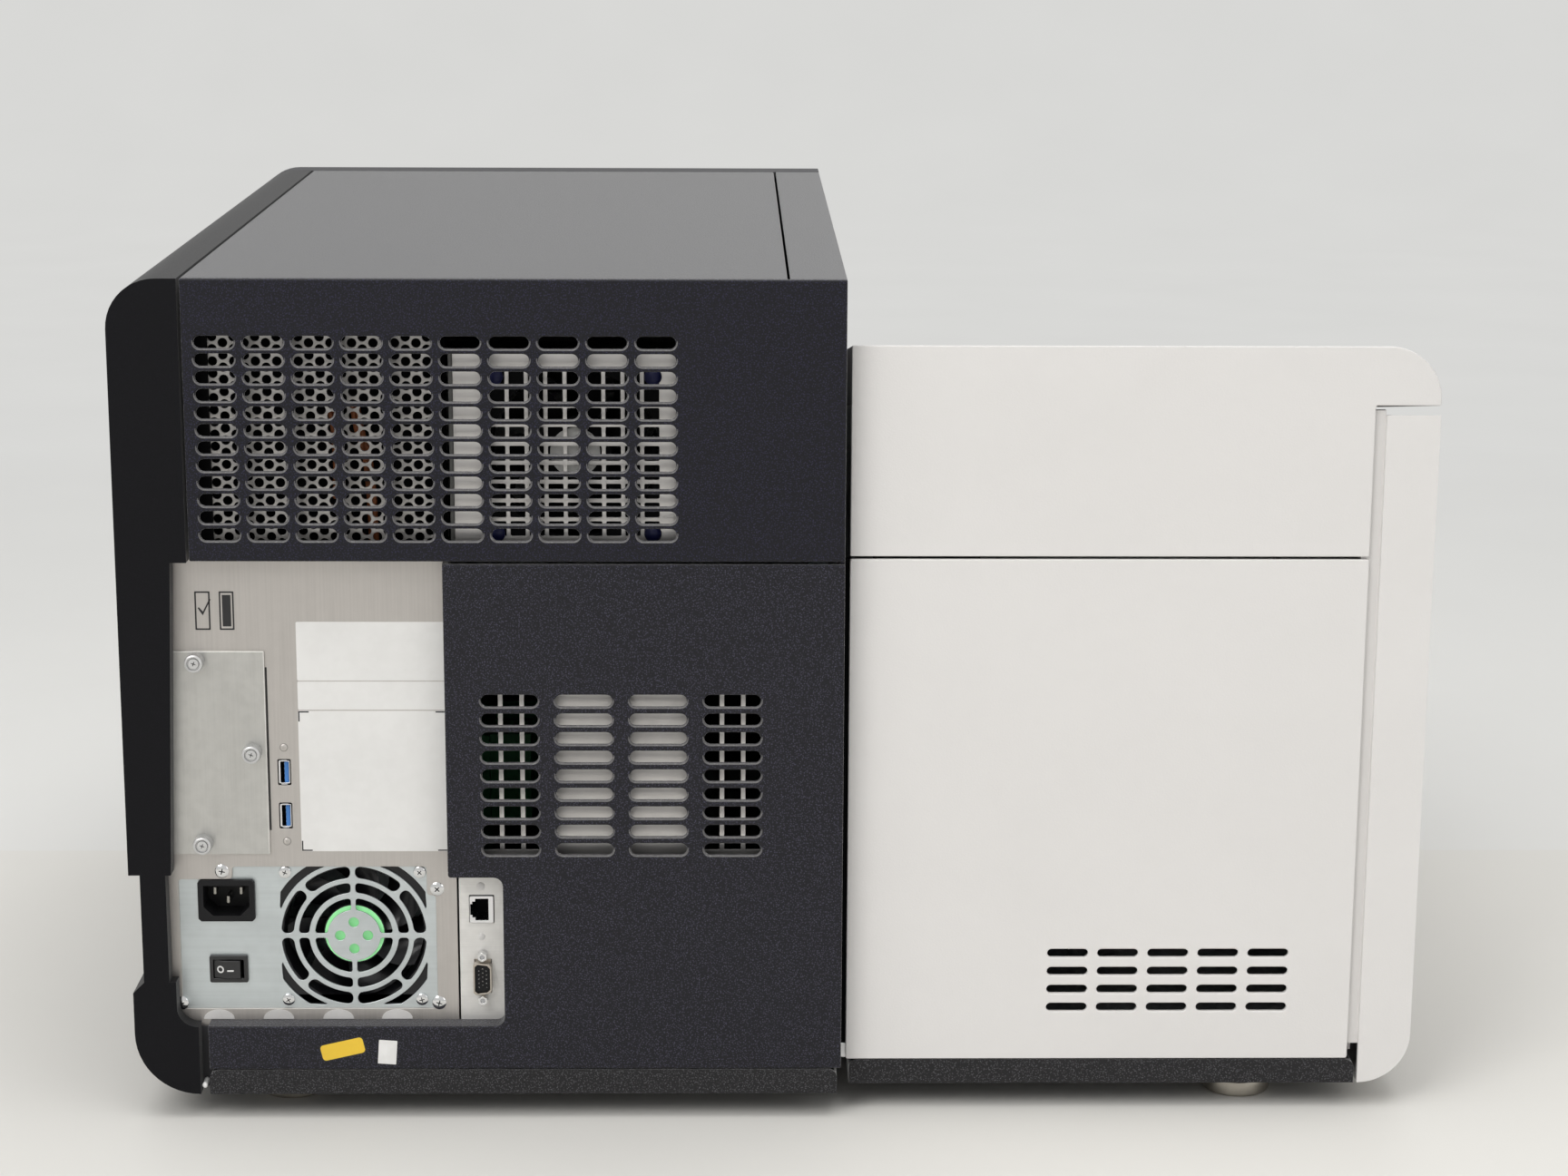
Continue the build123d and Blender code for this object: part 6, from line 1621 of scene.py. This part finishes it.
# ---- Port strip ----
@dataclass
class PortStrip:
    """Narrow strip with the network jack and the video socket.

    Attributes:
        lamp_x: Middle of the lamp lenses in X.
        lamps: Height and radius of each lamp lens.
        video: Centre of the video socket.
        post_z: Height of each of its two posts.
    """

    lamp_x: float = 158.3
    lamps: Tuple[Point, ...] = ((126.6, 2.2), (98.6, 1.9))
    video: Point = (157.8, 76.3)
    post_z: Point = (88.6, 64.0)

    def lenses(self) -> None:
        """Small pale lamp lenses above the sockets."""
        lenses = [lathe(f"strip_lamp_{i}", [(0, 0), (r, 0), (r, 0.3), (r * 0.7, 0.6), (0, 0.7)],
                        (self.lamp_x, 277.9, z), 24)
                  for i, (z, r) in enumerate(self.lamps)]
        dress(joined("strip_lamps", lenses), PALE_TAB)

    def network_jack(self) -> None:
        """Network jack: metal shell with a stepped mouth, dark insert and contacts."""
        box = Extent.of("ethernet_jack")
        x0, x1, z0, z1, mid = box.x0, box.x1, box.z0, box.z1, (box.z0 + box.z1) / 2
        upper = [(x0 + 2.6, mid + 6.0), (x1 - 3.0, mid + 6.0), (x1 - 3.0, mid + 4.4), (x1 - 1.4, mid + 4.4),
                 (x1 - 1.4, mid + 3.0), (x1 - 0.3, mid + 3.0)]
        mouth = upper + [(x, 2 * mid - z) for x, z in reversed(upper)]
        shell = plate("jack_shell", box.outline(0.6, 3), [mouth], box.y0, box.y1, 0.12)
        dress(shell, CONNECTOR_SHELL, stands_for=["ethernet_jack"])
        back = slab("jack_insert", (x0 + 0.4, box.y0 + 0.4, z0 + 0.9), (x1 - 0.4, box.y0 + 2.4, z1 - 0.9),
                    0.2)
        dress(back, MATT_BLACK_AND_SHADE)
        wires = [slab("jack_wire", (x0 + 1.2, box.y0 + 3.0, z0 + 3.3 + 1.02 * k),
                      (x0 + 1.5, box.y0 + 9.0, z0 + 3.7 + 1.02 * k), 0.08, 1) for k in range(9)]
        dress(joined("jack_contacts", wires), CONTACT)

    def tapered(self, half_x: float, half_z: float, slant: float) -> Loop:
        """Outline of the video socket, its long side toward the supply, with cut corners."""
        x, z = self.video
        return rounded([(x + half_x, z - half_z), (x + half_x, z + half_z), (x - half_x, z + half_z - slant),
                        (x - half_x, z - half_z + slant)], 1.5, 1)

    def video_socket(self) -> None:
        """Fifteen-way socket: flange, tapered shell, insulator with its holes and contacts."""
        box, (x, z) = Extent.of("video_connector"), self.video
        flange = plate("video_flange", box.outline(1.2, 3), [], 276.6, 277.6, 0.2)
        shell = plate("video_shell", self.tapered(4.9, 9.2, 1.1), [self.tapered(4.05, 8.3, 1.0)], 276.6,
                      box.y1 - 0.05, 0.12)
        dress(joined("video_socket_shell", [flange, shell]), VIDEO_SHELL,
              stands_for=["video_connector"])
        places = [(x + row, z + (k - 2) * 2.3 + shift - 0.58)
                  for row, shift in ((-2.0, 0.0), (0.0, 1.15), (2.0, 0.0)) for k in range(5)]
        holes = [circle(px, pz, 0.5, 10) for px, pz in places]
        insert = plate("video_insulator", self.tapered(4.0, 8.1, 1.0), holes, 277.2, box.y1 - 1.6, 0.15)
        dress(insert, CONNECTOR_PLASTIC)
        pins = [lathe("video_pin", [(0, 0), (0.45, 0), (0.45, 3.2), (0.2, 3.6), (0, 3.6)], (px, 277.8, pz),
                      10)
                for px, pz in places]
        dress(joined("video_contacts", pins), SCREW_STEEL)

    def posts(self) -> None:
        """Hexagonal posts above and below the video socket."""
        x, top = self.video[0], Extent.of("video_connector").y1
        posts = []
        for i, z in enumerate(self.post_z):
            hexagon = arc(x, z, 2.75, 30, 330, 5)
            posts.append(plate(f"jack_post_{i}", hexagon, [circle(x, z, 1.25, 16)], 278.7, top, 0.2))
            floor = [(0, 0), (1.5, 0), (1.5, 0.5), (0, 0.5)]
            posts.append(lathe(f"jack_post_floor_{i}", floor, (x, 279.0, z), 16))
        dress(joined("jack_posts", posts), SCREW_STEEL)

    def build(self) -> None:
        """Builds the strip and its sockets."""
        refine("port_bracket", 0.3, STRIP_METAL)
        self.lenses()
        self.network_jack()
        self.video_socket()
        self.posts()


# ---- White section and inside ----
@dataclass
class WhiteSection:
    """Covers, doors and fluidics of the white section.

    Attributes:
        vent: Slots of the lower rear panel.
        rolled: Nodes whose edges are rolled, each with its radius.
        crisp: Nodes whose edges are only broken.
    """

    vent: VentField = VentField((-210.0, 72.7), (5, 4), (27.0, 10.2), (22.0, 4.8))
    rolled: Tuple[Tuple[str, float], ...] = (
        ("reagent_liner", 0.5), ("chiller_door", 0.5), ("sipper_handle", 0.4), ("flow_cell_deck", 0.4),
        ("flow_cell_stage", 0.4), ("flow_cell_clamp", 0.4), ("release_button", 0.4), ("imaging_head", 0.5),
        ("waste_bottle", 0.8))
    crisp: Tuple[str, ...] = ("hinge_pins", "chiller_heat_sink", "syringe_pump", "sipper_manifold",
                              "reagent_chiller")

    def rear_panel(self) -> None:
        """Lower rear panel with its small vent."""
        box = Extent.of("white_rear_panel")
        piece = plate("white_rear_panel_slotted", box.outline(1.2, 3), self.vent.loops(), box.y0, box.y1, 0.6)
        dress(piece, WHITE_COAT, stands_for=["white_rear_panel"])

    def build(self) -> None:
        """Builds the white covers and dresses what they hold."""
        self.rear_panel()
        refine("white_upper_cover", 0.9)
        for node in ("white_side_cover", "flow_cell_door", "reagent_door"):
            refine(node, 0.8)
        refine("base_tray_white", 0.5, TRAY_COAT)
        # Black strip in the seam between the black and white sections: a painted shadow.
        seam_shadow = slab("section_seam_painted_shadow", (-36.9, 268.0, 27.8), (-34.1, 271.0, 304.0), 0.4)
        dress(seam_shadow, MATT_BLACK_AND_SHADE)
        tongue = slab("side_cover_tongue", (-312.3, 262.0, 30.0), (-309.2, 268.0, 60.0), 0.4)
        dress(tongue, WHITE_COAT)
        for node, width in self.rolled:
            refine(node, width)
        for node in self.crisp:
            refine(node, 0.2, segments=1)


@dataclass
class Inside:
    """Frame parts and electronics that the covers hide, and the front's glass.

    Attributes:
        hidden: Nodes behind the covers.
    """

    hidden: Tuple[str, ...] = ("baseplate", "monitor_module", "main_board", "disk_drive", "equipment_shelf",
                               "optics_housing")

    def build(self) -> None:
        """Dresses the hidden nodes and the front."""
        refine("touch_screen", 0.4)
        refine("status_bar", 0.3)
        refine("front_usb_socket", 0.1, segments=1)
        for node in self.hidden:
            refine(node, 0.3, segments=1)


@dataclass
class Feet:
    """Turned levelling feet.

    Attributes:
        disc_r: Radius of the disc.
        disc_h: Height of the disc.
    """

    disc_r: float = 18.4
    disc_h: float = 9.0

    def build(self) -> None:
        """Builds a foot at each place where the node has one."""
        r, h, top = self.disc_r, self.disc_h, Extent.of("leveling_feet").z1
        profile = [(0, 0), (r - 1.4, 0), (r - 0.4, 0.5), (r, 1.5), (r, h - 2.2), (r - 0.5, h - 0.9),
                   (r - 1.8, h - 0.2),
                   (8.0, h + 0.3), (7.2, h + 1.0), (7.2, h + 4.2), (5.0, h + 4.6), (5.0, top), (0, top)]
        feet = [lathe(f"foot_{i}", profile, (x, y, 0.0), 56, Axis.Z)
                for i, (x, y) in enumerate(self.centres())]
        dress(joined("turned_feet", feet), FOOT_STEEL, stands_for=["leveling_feet"])

    def centres(self) -> List[Point]:
        """Centre of each foot, from the node's lowest faces."""
        low = [v.co / MM for v in frame["nodes"]["leveling_feet"].data.vertices if v.co.z < 0.5 * MM]
        groups: Dict[Tuple[bool, bool], List[Vector]] = {}
        for co in low:
            groups.setdefault((co.x > 0, co.y > 0), []).append(co)
        return [((min(c.x for c in g) + max(c.x for c in g)) / 2,
                 (min(c.y for c in g) + max(c.y for c in g)) / 2)
                for g in groups.values()]


@dataclass
class Stickers:
    """Blank stickers near the foot of the lower rear cover.

    Attributes:
        face_y: Rear of the box, just behind the stickers.
        yellow: Centre and turn of the yellow sticker.
        white: Centre and turn of the white sticker.
    """

    face_y: float = 290.0
    yellow: Tuple[Point, float] = ((232.5, 39.4), -13.0)
    white: Tuple[Point, float] = ((208.6, 37.6), 4.0)

    def build(self) -> None:
        """Builds both stickers, the yellow one over a dark border."""
        for name, place, half, corner, depths, finish in (
                ("yellow_sticker_border", self.yellow, (12.3, 5.1), (2.3, 5), (0.2, 0.09), PRINT_AND_SHADE_BLACK),
                ("yellow_sticker", self.yellow, (11.6, 4.4), (1.9, 5), (0.18, 0.04), STICKER_YELLOW),
                ("white_sticker", self.white, (4.9, 6.7), (0.5, 3), (0.2, 0.05), LABEL_WHITE)):
            outline = turned(round_rect(-half[0], half[0], -half[1], half[1], *corner), *place)
            dress(plate(name, outline, [], self.face_y - depths[0], self.face_y - depths[1], 0.02), finish)


# ---- Studio ----
@dataclass(frozen=True)
class Lamp:
    """Soft square lamp that looks at the instrument.

    Attributes:
        name: Name of the lamp.
        place: Place in metres.
        size: Side in metres.
        power: Power in watts.
        colour: Colour of the light.
    """

    name: str
    place: Place
    size: float
    power: float
    colour: Colour

    def build(self) -> None:
        """Adds the lamp."""
        data = bpy.data.lights.new(self.name, "AREA")
        data.shape, data.size, data.energy, data.color = "SQUARE", self.size, self.power, self.colour
        lamp = link(self.name, data)
        lamp.location = self.place
        lamp.rotation_euler = (Vector((0, 0, 0.2)) - Vector(self.place)).to_track_quat("-Z", "Y").to_euler()


@dataclass
class Studio:
    """Bench, backdrop, soft light and camera.

    Attributes:
        camera_at: Place of the camera in metres.
        heading: Turn of the camera away from straight ahead, in degrees.
        pitch: How far it looks down, in degrees.
        roll: Turn about its own axis, in degrees.
        lens: Focal length in millimetres.
        bench: Colour of the bench.
        wall: Colour of the backdrop.
        seam_y: Y of the seam where the bench ends.
        curve_y: Y at which the backdrop starts to curve up, with a radius of one metre.
        lamps: The lamps.
    """

    camera_at: Place = (0.02627, 1.93696, 0.67067)
    heading: float = 0.994
    pitch: float = 12.927
    roll: float = 0.27
    lens: float = 74.83
    bench: Colour = (0.68, 0.67, 0.64)
    wall: Colour = (0.69, 0.69, 0.675)
    seam_y: float = -0.186
    curve_y: float = -3.6
    lamps: Tuple[Lamp, ...] = (
        Lamp("key", (1.7, 2.6, 2.6), 1.8, 56.0, (1.0, 0.99, 0.975)),
        Lamp("overhead", (0.2, 0.5, 3.2), 2.6, 64.0, (1.0, 0.995, 0.985)),
        Lamp("front", (-0.9, -2.6, 2.6), 1.8, 13.0, (1.0, 0.995, 0.985)),
        Lamp("fill", (-2.4, 2.2, 1.5), 2.0, 13.0, (0.985, 0.99, 1.0)))

    def camera(self) -> None:
        """Camera behind the instrument, looking slightly down."""
        data = bpy.data.cameras.new("camera")
        data.lens, data.sensor_width, data.sensor_fit = self.lens, 36.0, "HORIZONTAL"
        data.clip_start, data.clip_end = 0.05, 30.0
        camera = link("camera", data)
        a, p, r = (math.radians(v) for v in (self.heading, self.pitch, self.roll))
        forward = Vector((-math.sin(a) * math.cos(p), -math.cos(a) * math.cos(p), -math.sin(p)))
        right = forward.cross(Vector((0, 0, 1))).normalized()
        up = right.cross(forward)
        right, up = right * math.cos(r) + up * math.sin(r), up * math.cos(r) - right * math.sin(r)
        turn = Matrix((right, up, -forward)).transposed().to_4x4()
        camera.matrix_world = Matrix.Translation(self.camera_at) @ turn
        bpy.context.scene.camera = camera

    @staticmethod
    def sweep(name: str, path: Sequence[Point], angle: float) -> Piece:
        """Wide sheet along a path in Y and Z, in metres.

        Args:
            name: Name of the sheet.
            path: Y and Z of each bend.
            angle: Angle in degrees from which a bend stays sharp.

        Returns:
            The linked sheet.
        """
        bm = bmesh.new()
        line = [[bm.verts.new((x, y, z)) for x in (-5.0, 5.0)] for y, z in path]
        for low, high in zip(line, line[1:]):
            bm.faces.new([low[0], low[1], high[1], high[0]])
        return from_bm(name, bm, angle)

    def ground(self) -> None:
        """Bench top that runs to a seam behind the instrument, then a paler sweep that curves up."""
        bench = self.sweep("bench_top", [(4.0, 0.0), (self.seam_y, 0.0)], 32.0)
        self.paint_stage(bench, "bench_surface", self.bench)
        bends = [math.radians(t) for t in range(10, 91, 10)]
        path = [(self.seam_y, 0.0), (self.curve_y, 0.0)]
        path += [(self.curve_y - math.sin(t), 1.0 - math.cos(t)) for t in bends] + [(self.curve_y - 1.0, 5.0)]
        wall = self.sweep("backdrop", path, 60.0)
        self.paint_stage(wall, "backdrop_surface", self.wall, (-0.7, -1.7))

    def paint_stage(self, piece: Piece, name: str, colour: Colour, far: Optional[Point] = None) -> None:
        """Gives the bench or backdrop a faintly mottled matt surface.

        Args:
            piece: Bench or backdrop.
            name: Name of the material.
            colour: Linear colour.
            far: Y at which the backdrop starts to show its plain colour, and at which it shows nothing else.
        """
        made = bpy.data.materials.new(name)
        made.use_nodes = True
        made.node_tree.nodes.clear()
        g = Graph(made.node_tree)
        place = g.place()
        tint = g.mix(g.noise(place, 5.0, 4.0), rgba(colour, 0.97), rgba(colour, 1.02))
        surface = g.add("ShaderNodeBsdfPrincipled", {"Base Color": tint, "Roughness": 0.62}).outputs[0]
        if far:
            ray = g.add("ShaderNodeLightPath").outputs
            seen = g.math("MAXIMUM", ray["Is Camera Ray"], ray["Is Glossy Ray"])
            depth = g.add("ShaderNodeSeparateXYZ", {"Vector": place}).outputs["Y"]
            share = g.math("MULTIPLY", g.span(depth, far[0], far[1], 0.0, 1.0), seen)
            plain = g.add("ShaderNodeEmission", {"Color": tint, "Strength": 1.0}).outputs[0]
            surface = g.add("ShaderNodeMixShader", {"0": share, "1": surface, "2": plain}).outputs[0]
        g.add("ShaderNodeOutputMaterial", {"Surface": surface})
        piece.data.materials.append(made)

    def light(self) -> None:
        """World light and the lamps."""
        world = bpy.data.worlds.new("studio")
        bpy.context.scene.world = world
        world.use_nodes = True
        world.node_tree.nodes.clear()
        g = Graph(world.node_tree)
        ray = g.add("ShaderNodeLightPath").outputs
        mirrored = g.math("MAXIMUM", ray["Is Glossy Ray"], ray["Is Transmission Ray"])
        seen = g.math("MAXIMUM", ray["Is Camera Ray"], mirrored)
        soft, shown = (g.add("ShaderNodeBackground", {"Color": colour, "Strength": strength}).outputs[0]
                       for colour, strength in (((1.0, 0.995, 0.985, 1.0), 0.42),
                                                ((0.71, 0.71, 0.70, 1.0), 1.0)))
        both = g.add("ShaderNodeMixShader", {"0": seen, "1": soft, "2": shown}).outputs[0]
        g.add("ShaderNodeOutputWorld", {"Surface": both})
        for lamp in self.lamps:
            lamp.build()
        bpy.context.scene.view_settings.view_transform = "Standard"

    def build(self) -> None:
        """Builds the studio."""
        self.camera()
        self.ground()
        self.light()


def main() -> None:
    """Builds every sub-assembly in order."""
    logging.basicConfig(level=logging.INFO, format="%(name)s %(message)s")
    for assembly in (BlackCovers(), InputPanel(), PowerSupply(), RearVentInside(), PortStrip(),
                     WhiteSection(), Inside(), Feet(), Stickers(), Studio()):
        LOG.info("building %s", type(assembly).__name__)
        assembly.build()


if __name__ == "__main__":
    main()
